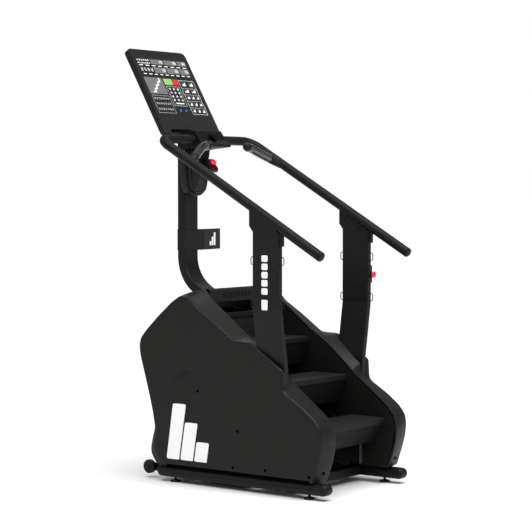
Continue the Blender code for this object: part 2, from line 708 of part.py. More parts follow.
def stop_buttons():
    """A mushroom stop button on the pod's right, and one on the right upright."""
    cap = [(0.0, 0.024), (0.0110, 0.0235), (0.0165, 0.021), (0.0190, 0.016), (0.0180, 0.012),
           (0.009, 0.011), (0.009, 0.0), (0.0, 0.0)]
    small = [(radius * 0.84 if radius > 0.009 else radius, height) for radius, height in cap]
    box = plate("stop_box_console", "YZ", [[
        (0.5117, 1.582), (0.4930, 1.580), (0.4585, 1.5345), (0.4560, 1.5220), (0.4670, 1.5120),
        (0.5117, 1.518)]], 0.026, 0.086, "black_plastic", 0.003)
    face = Vector((0.0, -0.80, 0.60))
    seat = Vector((0.056, 0.4765, 1.5583))
    cut(box, rod("stop_bore", seat - face * 0.008, seat + face * 0.030, 0.0095, "black_plastic", 20))
    turned("stop_button_console", cap, seat - face * 0.0035, face, "red_plastic", 20)
    front = POST_FRONT - GAP
    plate_item = block("stop_plate_upright", (POST_X - 0.0155, front - 0.006, 0.966),
                       (POST_X + 0.0155, front, 1.052), "black_plastic", 0.002)
    collar = rod("stop_collar", (POST_X, front - 0.003, 1.008), (POST_X, front - 0.018, 1.008), 0.0145,
                 "black_plastic", 20)
    join(plate_item, collar)
    cut(plate_item, rod("stop_bore_upright", (POST_X, front - 0.002, 1.008),
                        (POST_X, front - 0.05, 1.008), 0.0095, "black_plastic", 20))
    turned("stop_button_upright", small, (POST_X, front - 0.0100, 1.008), (0, -1, 0),
           "red_plastic", 20)


# ---- Stairs and drive -------------------------------------------------------------------

def visible_steps():
    """Four treads with their risers on the front run."""
    for number, (nose_y, nose_z) in enumerate(NOSINGS, start=1):
        low = nose_z - TREAD_THICK
        outline = [(nose_y, low + 0.004), (nose_y + 0.004, low), (nose_y + 0.022, low),
                   (nose_y + 0.026, low + 0.008), (nose_y + TREAD_DEPTH - 0.022, low + 0.008),
                   (nose_y + TREAD_DEPTH - 0.018, low), (nose_y + TREAD_DEPTH, low),
                   (nose_y + TREAD_DEPTH, nose_z), (nose_y + 0.006, nose_z), (nose_y, nose_z - 0.006)]
        plate(f"tread_{number}", "YZ", [outline], -STEP_HALF, STEP_HALF, "tread_plastic")
        lean = math.radians(58 if number == 1 else 75)
        top = (nose_y + 0.0045, low - 0.0004)
        foot = along(top, -lean, 0.108)
        depth = 0.010
        riser = [top, foot, along(foot, -lean, 0.0, depth), (top[0] + depth / math.sin(lean), top[1])]
        plate(f"riser_{number}", "YZ", [riser], -STEP_HALF + 0.002, STEP_HALF - 0.002,
              "tread_plastic")


def return_steps():
    """Three steps on their way back up, folded flat behind the chain."""
    foot = along(LOWER_SHAFT, INCLINE, 0.0, -CHAIN_R - 0.040)
    spots = [(along(foot, INCLINE, 0.110), INCLINE), (along(foot, INCLINE, 0.405), INCLINE)]
    tilt = math.radians(80)
    spots.append((along(along(UPPER_SHAFT, tilt, 0.0, -CHAIN_R - 0.050), tilt, -0.085), tilt))
    for number, (place, angle) in enumerate(spots, start=1):
        length = 0.270 if number < 3 else 0.180
        outline = [place, along(place, angle, length), along(place, angle, length, 0.012),
                   along(place, angle, 0.0, 0.012)]
        plate(f"return_step_{number}", "YZ", [outline], -STEP_HALF, STEP_HALF,
              "tread_plastic")


def shaft(name, place, pulley):
    """A shaft with a chain sprocket near each end, and for the drive a belt pulley."""
    reach = FRAME_OUTER + 0.012
    rim, hub = CHAIN_R - 0.009, 0.022
    profile = [(0.0, reach), (SHAFT_R, reach)]
    if pulley:
        profile += [(SHAFT_R, 0.284), (0.060, 0.284), (0.060, 0.264), (SHAFT_R, 0.264)]
    for middle in (CHAIN_X, -CHAIN_X):
        profile += [(SHAFT_R, middle + 0.014), (hub, middle + 0.014), (hub, middle + 0.004),
                    (rim, middle + 0.004), (rim, middle - 0.004), (hub, middle - 0.004),
                    (hub, middle - 0.014), (SHAFT_R, middle - 0.014)]
    profile += [(SHAFT_R, -reach), (0.0, -reach)]
    turned(name, profile, (0.0, *place), (1, 0, 0), "bright_steel", 16)


def step_chains():
    """The step chains round both sprockets, as plain closed bands."""
    def loop(radius):
        high = math.degrees(INCLINE) + 90
        return (arc(UPPER_SHAFT, radius, high - 180, high, 12)
                + arc(LOWER_SHAFT, radius, high, high + 180, 12))

    for side, across in (("left", -CHAIN_X), ("right", CHAIN_X)):
        plate(f"step_chain_{side}", "YZ", [loop(CHAIN_R + 0.005), loop(CHAIN_R - 0.0075)],
              across - 0.006, across + 0.006, "bright_steel")


def brake():
    """A magnetic brake wheel driven by the belt, on a stub in the right side frame."""
    profile = [(0.0, 0.303), (0.010, 0.303), (0.010, 0.2835), (0.022, 0.2835), (0.022, 0.2645),
               (0.010, 0.2645), (0.010, 0.180), (0.030, 0.180), (0.030, 0.172),
               (FLYWHEEL_R, 0.172), (FLYWHEEL_R, 0.140), (0.0, 0.140)]
    turned("brake_wheel", profile, (0.0, *FLYWHEEL), (1, 0, 0), "bright_steel", 20)


def drive_belt():
    """The flat belt from the drive shaft's pulley to the brake wheel's."""
    run = Vector(UPPER_SHAFT) - Vector(FLYWHEEL)
    heading = math.degrees(math.atan2(run.y, run.x))
    tilt = math.degrees(math.asin((0.060 - 0.022) / run.length))

    def loop(grow):
        return (arc(UPPER_SHAFT, 0.0610 + grow, heading - 90 - tilt, heading + 90 + tilt, 14)
                + arc(FLYWHEEL, 0.0229 + grow, heading + 90 + tilt, heading + 270 - tilt, 10))

    plate("drive_belt", "YZ", [loop(0.003), loop(0.0)], 0.2655, 0.2825, "belt_rubber")


def controller():
    """The controller box on the rear cross tube, with the power inlet's mouth in its back."""
    box = block("controller_box", (-0.140, 0.385, 0.0745), (0.080, 0.4965, 0.170),
                "black_plastic", 0.004)
    cut(box, block("inlet_mouth", (-0.120, 0.478, 0.104), (-0.092, 0.510, 0.128),
                   "black_plastic"))


base_rails()
base_crosses()
levelling_feet()
transport_wheels()
side_frames()
mast()
uprights()
upright_brackets()
handrail()
grip_pods()
shells()
well_panels()
top_cover()
rear_cover()
cable_wing()
pod_housing()
console()
console_nose()
stop_buttons()
visible_steps()
return_steps()
shaft("drive_shaft", UPPER_SHAFT, True)
shaft("lower_shaft", LOWER_SHAFT, False)
step_chains()
brake()
drive_belt()
controller()

bpy.context.view_layer.update()
for item in bpy.data.objects:
    item.matrix_world = Matrix.Translation((0.0, -MIDDLE_Y, 0.0)) @ item.matrix_world
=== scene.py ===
import math

import bmesh
import bpy
import numpy as np
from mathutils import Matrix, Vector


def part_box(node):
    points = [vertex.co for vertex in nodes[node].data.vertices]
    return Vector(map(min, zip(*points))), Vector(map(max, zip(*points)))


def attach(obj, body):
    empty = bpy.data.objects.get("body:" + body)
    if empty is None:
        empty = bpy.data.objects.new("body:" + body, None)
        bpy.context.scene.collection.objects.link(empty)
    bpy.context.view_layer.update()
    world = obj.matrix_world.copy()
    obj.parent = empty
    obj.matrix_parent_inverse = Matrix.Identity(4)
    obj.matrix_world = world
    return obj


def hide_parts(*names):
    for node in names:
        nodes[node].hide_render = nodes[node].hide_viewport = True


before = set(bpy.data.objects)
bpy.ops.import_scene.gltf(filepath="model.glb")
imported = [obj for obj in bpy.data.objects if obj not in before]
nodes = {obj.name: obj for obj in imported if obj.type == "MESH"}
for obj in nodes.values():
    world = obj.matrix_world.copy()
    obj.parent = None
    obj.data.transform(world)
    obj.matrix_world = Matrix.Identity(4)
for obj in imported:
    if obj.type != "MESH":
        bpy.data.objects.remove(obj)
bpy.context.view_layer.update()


def middleOf(node):
    low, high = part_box(node)
    return (low + high) / 2


# lengths along Y below are counted from half way between the levelling feet
feetMiddle = (middleOf("foot_front_left").y + middleOf("foot_rear_left").y) / 2
print("frame loaded")


class Wire:
    # a socket in an expression: + - and * add Math nodes
    def __init__(self, paint, socket):
        self.paint, self.socket = paint, socket

    def maths(self, operation, first, second=0.0):
        return self.paint.node("Math", {"operation": operation}, {0: first, 1: second})

    def __add__(self, other):
        return self.maths("ADD", self, other)

    def __sub__(self, other):
        return self.maths("SUBTRACT", self, other)

    def __mul__(self, other):
        return self.maths("MULTIPLY", self, other)

    def __radd__(self, other):
        return self.maths("ADD", other, self)

    def __rsub__(self, other):
        return self.maths("SUBTRACT", other, self)

    def __rmul__(self, other):
        return self.maths("MULTIPLY", other, self)

    def above(self, low, high):
        # 0 under low, 1 over high, and even between them
        return self.paint.node("MapRange", {"clamp": True}, {
            "Value": self, "From Min": low, "From Max": high, "To Min": 0.0, "To Max": 1.0})


class Paint:
    # a material under construction: every node comes from node()
    def __init__(self, name):
        self.material = bpy.data.materials.new(name)
        self.material.use_nodes = True
        self.tree = self.material.node_tree
        self.shader = self.tree.nodes["Principled BSDF"]

    def node(self, kind, settings=None, sockets=None, output=0):
        made = self.tree.nodes.new("ShaderNode" + kind)
        for key, value in (settings or {}).items():
            setattr(made, key, value)
        self.fill(made, sockets or {})
        return Wire(self, made.outputs[output])

    def fill(self, made, sockets):
        for key, value in sockets.items():
            if isinstance(value, Wire):
                self.tree.links.new(value.socket, made.inputs[key])
            else:
                made.inputs[key].default_value = value

    def place(self, stretch=(1.0, 1.0, 1.0)):
        spot = self.node("TexCoord", output="Object")
        return self.node("Mapping", None, {"Vector": spot, "Scale": stretch})

    def noise(self, scale, detail=2.0, stretch=(1.0, 1.0, 1.0)):
        return self.node("TexNoise", None, {
            "Vector": self.place(stretch), "Scale": scale, "Detail": detail, "Roughness": 0.55})

    def grain(self, scale):
        return self.node("TexVoronoi", {"feature": "SMOOTH_F1"}, {
            "Vector": self.place(), "Scale": scale, "Smoothness": 0.6})

    def mix(self, factor, first, second):
        return self.node("Mix", {"data_type": "RGBA"}, {
            0: factor, 6: (*first, 1.0) if isinstance(first, tuple) else first,
            7: (*second, 1.0) if isinstance(second, tuple) else second}, output=2)

    def done(self, sockets, bump=None, height=0.0004, strength=0.35):
        if bump is not None:
            sockets["Normal"] = self.node("Bump", None, {
                "Height": bump, "Distance": height, "Strength": strength})
        self.fill(self.shader, sockets)
        return self.material


def mouldedPlastic(name, colour, rough, grainScale=700.0, lift=1.5, shine=0.16,
                   scuff=0.01):
    # spark-eroded grain, cloudy gloss and fine pale scuffs
    paint = Paint(name)
    clouds = paint.noise(5.0, 4.0)
    fine = paint.noise(260.0, 3.0)
    scuffs = paint.noise(38.0, 5.0, (1.0, 1.0, 0.22)).above(0.66, 0.76)
    tone = clouds * 0.7 + fine * 0.3
    pale = tuple(channel * lift for channel in colour)
    base = paint.mix(tone, colour, pale)
    worn = tuple(min(1.0, channel * lift * 1.6 + scuff) for channel in colour)
    return paint.done({
        "Base Color": paint.mix(scuffs * 0.35, base, worn),
        "Roughness": rough + (clouds - 0.5) * 0.16 + (fine - 0.5) * 0.08 - scuffs * 0.06,
        "Specular IOR Level": shine},
        paint.grain(grainScale) + fine * 0.5, 0.0003, 0.45)


def powderCoat(name, colour, rough):
    # orange-peel paint over steel, with rubbed spots
    paint = Paint(name)
    peel = paint.noise(520.0, 2.0)
    clouds = paint.noise(7.0, 4.0)
    rubbed = paint.noise(60.0, 6.0, (1.0, 1.0, 0.3)).above(0.7, 0.78)
    pale = tuple(channel * 1.5 for channel in colour)
    worn = tuple(channel * 2.4 for channel in colour)
    return paint.done({
        "Base Color": paint.mix(rubbed * 0.5, paint.mix(clouds, colour, pale), worn),
        "Roughness": rough + (clouds - 0.5) * 0.14 + (peel - 0.5) * 0.1,
        "Metallic": 0.0, "Specular IOR Level": 0.16},
        peel, 0.0004, 0.35)


def bareMetal(name, colour, rough, stretch=(1.0, 1.0, 1.0), depth=0.15):
    # turned or brushed metal with streaks and handling marks
    paint = Paint(name)
    streaks = paint.noise(240.0, 4.0, stretch)
    marks = paint.noise(18.0, 4.0)
    dull = tuple(channel * 0.72 for channel in colour)
    return paint.done({
        "Base Color": paint.mix(marks * 0.5 + streaks * 0.4, colour, dull),
        "Roughness": rough + (marks - 0.4) * 0.12 + (streaks - 0.5) * 0.1,
        "Metallic": 1.0}, streaks, 0.0002, depth)


def softRubber(name, colour, rough, scale=420.0):
    # matt rubber with a pebbled skin and dusty bloom
    paint = Paint(name)
    pebble = paint.grain(scale)
    dust = paint.noise(9.0, 5.0)
    pale = tuple(channel * 1.7 for channel in colour)
    return paint.done({
        "Base Color": paint.mix(dust * 0.8, colour, pale),
        "Roughness": rough + (dust - 0.5) * 0.16,
        "Specular IOR Level": 0.12}, pebble, 0.0004, 0.5)


def glossPanel(name, colour, rough):
    # printed gloss sheet: faint orange peel and finger marks
    paint = Paint(name)
    prints = paint.noise(26.0, 5.0, (1.0, 0.6, 1.0)).above(0.52, 0.72)
    ripple = paint.noise(60.0, 1.0)
    pale = tuple(channel * 1.35 + 0.001 for channel in colour)
    return paint.done({
        "Base Color": paint.mix(prints * 0.6, colour, pale),
        "Roughness": rough + prints * 0.1 + ripple * 0.04}, ripple, 0.0003, 0.1)


def litGlass(name, colour, glow, strength, rough=0.25):
    # a lamp or display behind dark glass, with fine cells; the stop caps use it too, where the glow
    # is painted light
    paint = Paint(name)
    cells = paint.grain(900.0)
    pale = tuple(channel * 0.6 for channel in colour)
    paint.shader.inputs["Emission Strength"].default_value = strength
    return paint.done({
        "Base Color": paint.mix(cells, colour, pale),
        "Emission Color": paint.mix(cells * 0.6, glow, tuple(c * 0.7 for c in glow)),
        "Roughness": rough + cells * 0.08}, cells, 0.0001, 0.1)


def printedInk(name, colour, rough=0.55):
    # screen print: slightly uneven ink with worn specks
    paint = Paint(name)
    specks = paint.noise(320.0, 4.0).above(0.62, 0.74)
    clouds = paint.noise(12.0, 3.0)
    dull = tuple(channel * 0.82 for channel in colour)
    return paint.done({
        "Base Color": paint.mix(specks * 0.3 + clouds * 0.25, colour, dull),
        "Roughness": rough + (clouds - 0.5) * 0.1}, specks, 0.0001, 0.2)


finishes = {
    "shell": mouldedPlastic("shellPlastic", (0.0076, 0.0073, 0.0067), 0.46),
    "frame": powderCoat("framePaint", (0.006, 0.0058, 0.0054), 0.44),
    "tread": mouldedPlastic("treadPlastic", (0.008, 0.0078, 0.0076), 0.52, 500.0, 1.7),
    "grip": softRubber("gripRubber", (0.0068, 0.0066, 0.0062), 0.5),
    "casing": mouldedPlastic("casingPlastic", (0.0084, 0.0081, 0.0076), 0.42, 900.0),
    "topRiser": mouldedPlastic("paleRiserPlastic", (0.024, 0.0235, 0.0225), 0.5, 500.0),
    "nose": mouldedPlastic("nosePlastic", (0.0036, 0.0035, 0.0033), 0.52, 900.0, 1.5, 0.1,
                           0.004),
    "steel": bareMetal("turnedSteel", (0.05, 0.05, 0.053), 0.38, (6.0, 1.0, 1.0)),
    "chrome": bareMetal("polishedChrome", (0.15, 0.15, 0.155), 0.28, (1.0, 1.0, 1.0), 0.04),
    "riser": mouldedPlastic("riserPlastic", (0.0022, 0.0022, 0.0021), 0.6, 500.0, 1.7),
    # stop caps: red plastic given a faint glow though no lamp is inside, painted light that
    # brightens the red
    "redWithPaintedGlow": litGlass("stopRedPaintedGlow", (0.95, 0.012, 0.045), (0.9, 0.006, 0.03), 0.5, 0.3),
    "belt": softRubber("beltRubber", (0.009, 0.009, 0.009), 0.7),
    "wheel": mouldedPlastic("wheelPlastic", (0.009, 0.009, 0.0092), 0.48, 500.0),
    # near-black and almost matt: the own colour of screws, plugs, seams and sensor slots, and
    # painted shade where it fills the strip under the shells and the outlet's well
    "dark": mouldedPlastic("blackPlasticAndPaintedShade", (0.0006, 0.0006, 0.0006), 0.8, 700.0, 1.5, 0.02,
                           0.001),
    "bolt": bareMetal("blackenedBolt", (0.022, 0.022, 0.023), 0.42),
    "fascia": glossPanel("fasciaGloss", (0.0075, 0.0075, 0.0085), 0.24),
    "window": printedInk("windowTint", (0.15, 0.15, 0.155), 0.3),
    "white": printedInk("whitePrint", (0.92, 0.92, 0.92)),
    "grey": printedInk("greyPrint", (0.03, 0.03, 0.032)),
    "dim": printedInk("dimPrint", (0.5, 0.5, 0.51)),
    "green": printedInk("greenPrint", (0.22, 0.52, 0.11), 0.4),
    "redInk": printedInk("redPrint", (0.62, 0.01, 0.05), 0.4),
    "blue": litGlass("blueLamp", (0.05, 0.12, 0.3), (0.1, 0.3, 0.9), 0.6),
}
print("finishes ready")


def unit(rows):
    rows = np.asarray(rows, float)
    return rows / np.linalg.norm(rows, axis=-1, keepdims=True)


def loft(rings, closeStart=True, closeEnd=True):
    # rings[i, j]: point j of closed ring i; neighbours are joined by quads, ends by flat caps
    count, around = rings.shape[:2]
    i = np.arange(count - 1)[:, None] * around
    j = np.arange(around)[None, :]
    k = (j + 1) % around
    quads = np.stack([i + j, i + k, i + around + k, i + around + j], -1).reshape(-1, 4).tolist()
    if closeStart:
        quads.append(list(range(around))[::-1])
    if closeEnd:
        quads.append(list(range((count - 1) * around, count * around)))
    return rings.reshape(-1, 3), quads


def gathered(solids):
    points, faces, start = [], [], 0
    for some, shown in solids:
        points.append(some)
        faces += [[corner + start for corner in face] for face in shown]
        start += len(some)
    return np.concatenate(points), faces


def inset(outline, amount):
    # moves each corner in along the mean of its sides' normals, so that sides move by amount
    before = unit(outline - np.roll(outline, 1, 0))
    after = unit(np.roll(outline, -1, 0) - outline)
    normals = [np.stack([-side[:, 1], side[:, 0]], 1) for side in (before, after)]
    share = 1 + (normals[0] * normals[1]).sum(1, keepdims=True)
    following = np.roll(outline, -1, 0)
    area = (outline[:, 0] * following[:, 1] - following[:, 0] * outline[:, 1]).sum()
    return outline + (normals[0] + normals[1]) / np.maximum(share, 0.3) * amount * np.sign(area)


def prism(outline, low, high, seat, edge=0.0, steps=3):
    # a flat outline from low to high, its rims rounded on a quarter circle of radius edge;
    # seat turns rows of (across, up, out) into rows of (X, Y, Z)
    outline = np.asarray(outline, float)
    turns = np.linspace(0, math.pi / 2, steps + 1) if edge else np.array([math.pi / 2])
    levels = [(edge * (1 - math.sin(turn)), edge * (1 - math.cos(turn))) for turn in turns]
    rings = [np.c_[inset(outline, back), np.full(len(outline), low + rise)]
             for back, rise in levels]
    rings += [np.c_[inset(outline, back), np.full(len(outline), high - rise)]
              for back, rise in reversed(levels)]
    points, faces = loft(np.array(rings))
    return seat(points), faces


def roundedBox(left, low, right, high, radius, steps=4):
    # a rectangle whose corners are quarter circles
    turns = np.linspace(0, math.pi / 2, steps + 1)
    corners = [(right - radius, high - radius, 0.0), (left + radius, high - radius, 0.5),
               (left + radius, low + radius, 1.0), (right - radius, low + radius, 1.5)]
    return np.concatenate([np.stack([across + radius * np.cos(turns + half * math.pi),
                                     up + radius * np.sin(turns + half * math.pi)], 1)
                           for across, up, half in corners])


def revolve(profile, place, axis, steps=48):
    # profile rows of (radius, height) turned round axis: p = place + h axis + r (cos a u + sin a v)
    profile = np.asarray(profile, float)
    axis = unit(axis)
    u = unit(np.cross(axis, (0.31, 0.87, 0.39)))
    v = np.cross(axis, u)
    turns = np.linspace(0, 2 * math.pi, steps, endpoint=False)
    circle = np.cos(turns)[:, None] * u + np.sin(turns)[:, None] * v
    rings = (np.asarray(place, float) + profile[:, 1, None, None] * axis
             + profile[:, 0, None, None] * circle[None])
    return loft(rings)


def rounded(profile, radius, steps=4):
    # a profile whose inner corners are turned on quadratic curves that start radius away
    points = np.asarray(profile, float)
    made = [points[:1]]
    share = np.linspace(0, 1, steps + 1)[:, None]
    for before, corner, after in zip(points, points[1:], points[2:]):
        near = min(radius, np.linalg.norm(corner - before) / 2.01)
        far = min(radius, np.linalg.norm(after - corner) / 2.01)
        first = corner + (before - corner) / np.linalg.norm(corner - before) * near
        last = corner + (after - corner) / np.linalg.norm(after - corner) * far
        made.append((1 - share) ** 2 * first + 2 * share * (1 - share) * corner + share ** 2 * last)
    return np.concatenate(made + [points[-1:]])


def sweep(path, radius, up, sides=40):
    # a circle carried along a path: p(s, a) = path(s) + radius(s) (cos a side(s) + sin a lift(s))
    path = np.asarray(path, float)
    heading = unit(np.diff(path, axis=0))
    tangent = unit(np.concatenate([heading[:1], heading[:-1] + heading[1:], heading[-1:]]))
    side = unit(np.cross(tangent, up))
    lift = np.cross(side, tangent)
    turns = np.linspace(0, 2 * math.pi, sides, endpoint=False)
    radius = np.broadcast_to(radius, len(path))[:, None, None]
    rings = (path[:, None] + radius * (np.cos(turns)[None, :, None] * side[:, None]
                                       + np.sin(turns)[None, :, None] * lift[:, None]))
    return loft(rings)


def filleted(points, radius, steps=12):
    # a path whose inner corners are arcs of the given radius
    places = [np.asarray(point, float) for point in points]
    path = [places[0][None]]
    for before, corner, after in zip(places, places[1:], places[2:]):
        back, ahead = unit(before - corner), unit(after - corner)
        half = math.acos(np.clip(back @ ahead, -1, 1)) / 2
        middle = corner + unit(back + ahead) * radius / math.sin(half)
        first = corner + back * radius / math.tan(half) - middle
        last = corner + ahead * radius / math.tan(half) - middle
        turn = math.pi - 2 * half
        share = np.linspace(0, 1, steps + 1)[:, None]
        path.append(middle + (np.sin((1 - share) * turn) * first + np.sin(share * turn) * last)
                    / math.sin(turn))
    return np.concatenate(path + [places[-1][None]])


def domed(path, radius, edge, steps=6):
    # radii that round both ends of a swept path on quarter circles of radius edge
    turns = np.linspace(0, math.pi / 2, steps + 1)[:-1]
    first, last = unit(path[1] - path[0]), unit(path[-1] - path[-2])
    start = path[0] + first * (edge * (1 - np.cos(turns)))[:, None]
    end = path[-1] - last * (edge * (1 - np.cos(turns)))[::-1, None]
    ends = radius - edge * (1 - np.sin(turns))
    inner = [path[0] + first * edge, path[-1] - last * edge]
    whole = np.concatenate([start, inner[:1], path[1:-1], inner[1:], end])
    return whole, np.concatenate([ends, np.full(len(path), radius), ends[::-1]])


def makePiece(name, solid, finish, slot, replaced=(), body="machine", angle=38.0, outward=True):
    # builds the mesh in place, closed and facing out, and hangs it on its body
    points, faces = solid
    mesh = bpy.data.meshes.new(name)
    mesh.from_pydata((points + (0.0, feetMiddle, 0.0)).tolist(), [], faces)
    if outward:
        work = bmesh.new()
        work.from_mesh(mesh)
        bmesh.ops.recalc_face_normals(work, faces=work.faces)
        work.to_mesh(mesh)
        work.free()
    mesh.shade_smooth()
    mesh.set_sharp_from_angle(angle=math.radians(angle))
    mesh.materials.append(finishes[finish])
    piece = bpy.data.objects.new(name, mesh)
    bpy.context.collection.objects.link(piece)
    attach(piece, body)
    if replaced:
        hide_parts(*replaced)
    return piece


def flipped(solid):
    # the same solid on the machine's other side
    points, faces = solid
    return points * (-1.0, 1.0, 1.0), [face[::-1] for face in faces]


def frontSeat(points):
    # across is X, up is Z, and out is towards the user
    return np.stack([points[:, 0], -points[:, 2], points[:, 1]], 1)


def sideSeat(points):
    # across is Y, up is Z, and out is X
    return np.stack([points[:, 2], points[:, 0], points[:, 1]], 1)


def leftSeat(points):
    # across is Y, up is Z, and out is away from the machine on the user's left
    return np.stack([-points[:, 2], points[:, 0], points[:, 1]], 1)


sides = (("left", -1.0, leftSeat), ("right", 1.0, sideSeat))


def ramp(distance, width):
    # 0 up to the start, then even up to 1 over the width
    return np.clip(distance / width, 0, 1)


def spread(stations, rows):
    # closed rings of (Y, Z) rows, one ring for each station along X
    stations = np.asarray(stations)
    rows = np.broadcast_to(rows, (len(stations), *np.shape(rows)[-2:]))
    across = np.broadcast_to(stations[:, None, None], rows.shape[:2] + (1,))
    return loft(np.concatenate([across, rows], -1))


def discs(spots, profile, axis, steps=28):
    return gathered([revolve(profile, spot, axis, steps) for spot in spots])


def hoop(profile, place, axis, steps=48):
    # a closed profile turned round the axis: the caps of revolve give way to a last band
    points, faces = revolve(profile, place, axis, steps)
    last = (len(profile) - 1) * steps
    band = [[last + j, last + (j + 1) % steps, (j + 1) % steps, j] for j in range(steps)]
    return points, faces[:-2] + band


# the outline as (Y, Z) pairs, clockwise from the front foot: the edge along the stair well,
# then the crease outside it
shell = {
    "outline": [
        (-0.462, 0.08, -0.45, 0.08), (-0.496, 0.165, -0.48, 0.165),
        (-0.51, 0.225, -0.5, 0.235), (-0.513, 0.28, -0.505, 0.29),
        (-0.502, 0.332, -0.498, 0.334), (-0.471, 0.375, -0.462, 0.378),
        (-0.42, 0.415, -0.4, 0.425), (-0.31, 0.498, -0.303, 0.483),
        (-0.262, 0.534, -0.286, 0.5), (-0.245, 0.55, -0.281, 0.592),
        (-0.18, 0.607, -0.24, 0.616), (-0.119, 0.658, -0.11, 0.704),
        (-0.09, 0.678, -0.095, 0.711), (0.0, 0.735, 0.003, 0.714),
        (0.11, 0.817, 0.138, 0.806), (0.21, 0.89, 0.24, 0.868),
        (0.245, 0.93, 0.262, 0.893), (0.262, 0.945, 0.29, 0.912),
        (0.341, 0.932, 0.348, 0.912), (0.398, 0.893, 0.398, 0.88),
        (0.48, 0.822, 0.478, 0.814), (0.555, 0.755, 0.55, 0.748),
        (0.598, 0.708, 0.592, 0.704), (0.611, 0.672, 0.604, 0.67),
        (0.606, 0.62, 0.599, 0.62), (0.581, 0.54, 0.575, 0.54),
        (0.548, 0.43, 0.542, 0.43), (0.523, 0.34, 0.518, 0.34),
        (0.508, 0.262, 0.503, 0.262), (0.524, 0.212, 0.518, 0.212),
        (0.536, 0.165, 0.529, 0.165), (0.534, 0.135, 0.528, 0.137),
        (0.518, 0.108, 0.512, 0.11), (0.49, 0.08, 0.488, 0.08)],
    "wellSide": 0.25, "crease": 0.348, "side": 0.36, "centre": (0.06, 0.43),
    "samples": 480, "smoothing": 0.01, "wall": 0.0035,
    "fender": [(0.52, 0.175), (0.481, 0.262), (0.448, 0.333), (0.402, 0.43), (0.369, 0.495),
               (0.337, 0.528), (0.272, 0.551)],
    "fenderRise": 0.013, "fenderStep": 0.016, "fenderFrom": 0.255, "fadeLong": 0.09,
    "fallOff": 0.11, "bottom": 0.093,
    "screws": [(0.416, 0.106), (-0.185, 0.117), (-0.44, 0.11), (0.224, 0.461), (0.371, 0.414),
               (-0.02, 0.287), (0.008, 0.112)],
    "screwHead": [(0.0002, -0.004), (0.0074, -0.004), (0.0074, 0.0006), (0.0062, 0.0014),
                  (0.004, 0.0014), (0.0036, 0.0002), (0.0002, 0.0002)],
    "lip": 0.004, "plugHeight": 0.126, "plugShare": 0.45, "plugSunk": 0.005,
    "gap": (-0.43, 0.077, 0.43, 0.103), "shadowStripDepth": (0.016, 0.01),
}
baseRail = {"inner": 0.28, "outer": 0.342, "trim": 0.0055, "end": 0.0262, "edge": 0.015}


def alongOutline():
    # outline sampled evenly along the crease, then blurred on a circle with a Gaussian
    table = np.array(shell["outline"])
    closed = np.r_[table, table[:1]]
    reach = np.r_[0, np.cumsum(np.linalg.norm(np.diff(closed[:, 2:], axis=0), axis=1))]
    spots = np.linspace(0, reach[-1], shell["samples"], endpoint=False)
    lines = np.stack([np.interp(spots, reach, closed[:, column]) for column in range(4)], 1)
    spacing = reach[-1] / shell["samples"]
    offset = (np.arange(shell["samples"]) + shell["samples"] // 2) % shell["samples"]
    offset = (offset - shell["samples"] // 2) * spacing
    weight = np.exp(-(offset / shell["smoothing"]) ** 2 / 2)
    blurred = np.fft.ifft(np.fft.fft(lines, axis=0)
                          * np.fft.fft(weight / weight.sum())[:, None], axis=0).real
    return blurred[:, :2], blurred[:, 2:]


def fromLine(spots, line):
    # signed distance of (Y, Z) rows from an open line
    line = np.asarray(line, float)
    start, run = line[:-1], np.diff(line, axis=0)
    to = spots[:, None] - start[None]
    share = np.clip((to * run).sum(-1) / (run ** 2).sum(-1), 0, 1)
    apart = to - share[..., None] * run
    distance = np.linalg.norm(apart, axis=-1)
    nearest = distance.argmin(1)
    row = np.arange(len(spots))
    cross = run[nearest, 0] * apart[row, nearest, 1] - run[nearest, 1] * apart[row, nearest, 0]
    return distance[row, nearest] * np.sign(cross)


def eased(share):
    # 0 to 1 with level ends
    share = np.clip(share, 0, 1)
    return share * share * (3 - 2 * share)


def fenderRise(spots):
    # a smooth step across the fender's line that fades to the front and away from the line
    distance = fromLine(spots, shell["fender"])
    step = eased(distance / shell["fenderStep"] + 0.5)
    fade = eased((spots[:, 0] - shell["fenderFrom"]) / shell["fadeLong"])
    return shell["fenderRise"] * fade * step * np.exp(-np.maximum(distance, 0) / shell["fallOff"])


def shellSolid():
    # rings from the well's edge over the crease to the middle of the flat side; on the side
    # X = side + rise(Y, Z), where rise is a smooth step across the fender's line
    inner, crease = alongOutline()
    centre = np.array(shell["centre"])

    def ring(across, spots):
        return np.c_[np.broadcast_to(across, len(spots)), spots]

    def towards(spots, share):
        return spots + (centre - spots) * share

    def drawnIn(share):
        spots = towards(crease, share)
        return np.c_[spots[:, 0], np.maximum(spots[:, 1], shell["bottom"])]

    well, fold, side = shell["wellSide"], shell["crease"], shell["side"]
    rings = [ring(well, towards(inner, 0.012)), ring(well + 0.0008, towards(inner, 0.004)),
             ring(well + 0.004, inner)]
    for share in np.linspace(0.06, 0.97, 12):
        bulge = 0.004 * math.sin(math.pi * share)
        spots = inner + (crease - inner) * share
        rings.append(ring(well + 0.004 + (fold - well - 0.004) * share, towards(spots, -bulge)))
    for share in np.linspace(0.1, 1, 6):
        across = fold + (side - fold) * (1 - (1 - share) ** 2)
        rings.append(ring(across, drawnIn(0.03 * share ** 1.4)))
    for share in np.r_[np.linspace(0.04, 0.62, 56), np.linspace(0.66, 0.98, 6)]:
        spots = drawnIn(share)
        rise = fenderRise(spots) * min(1.0, (share - 0.03) / 0.05)
        rings.append(ring(side + rise, spots))
    return loft(np.array(rings), closeStart=False)


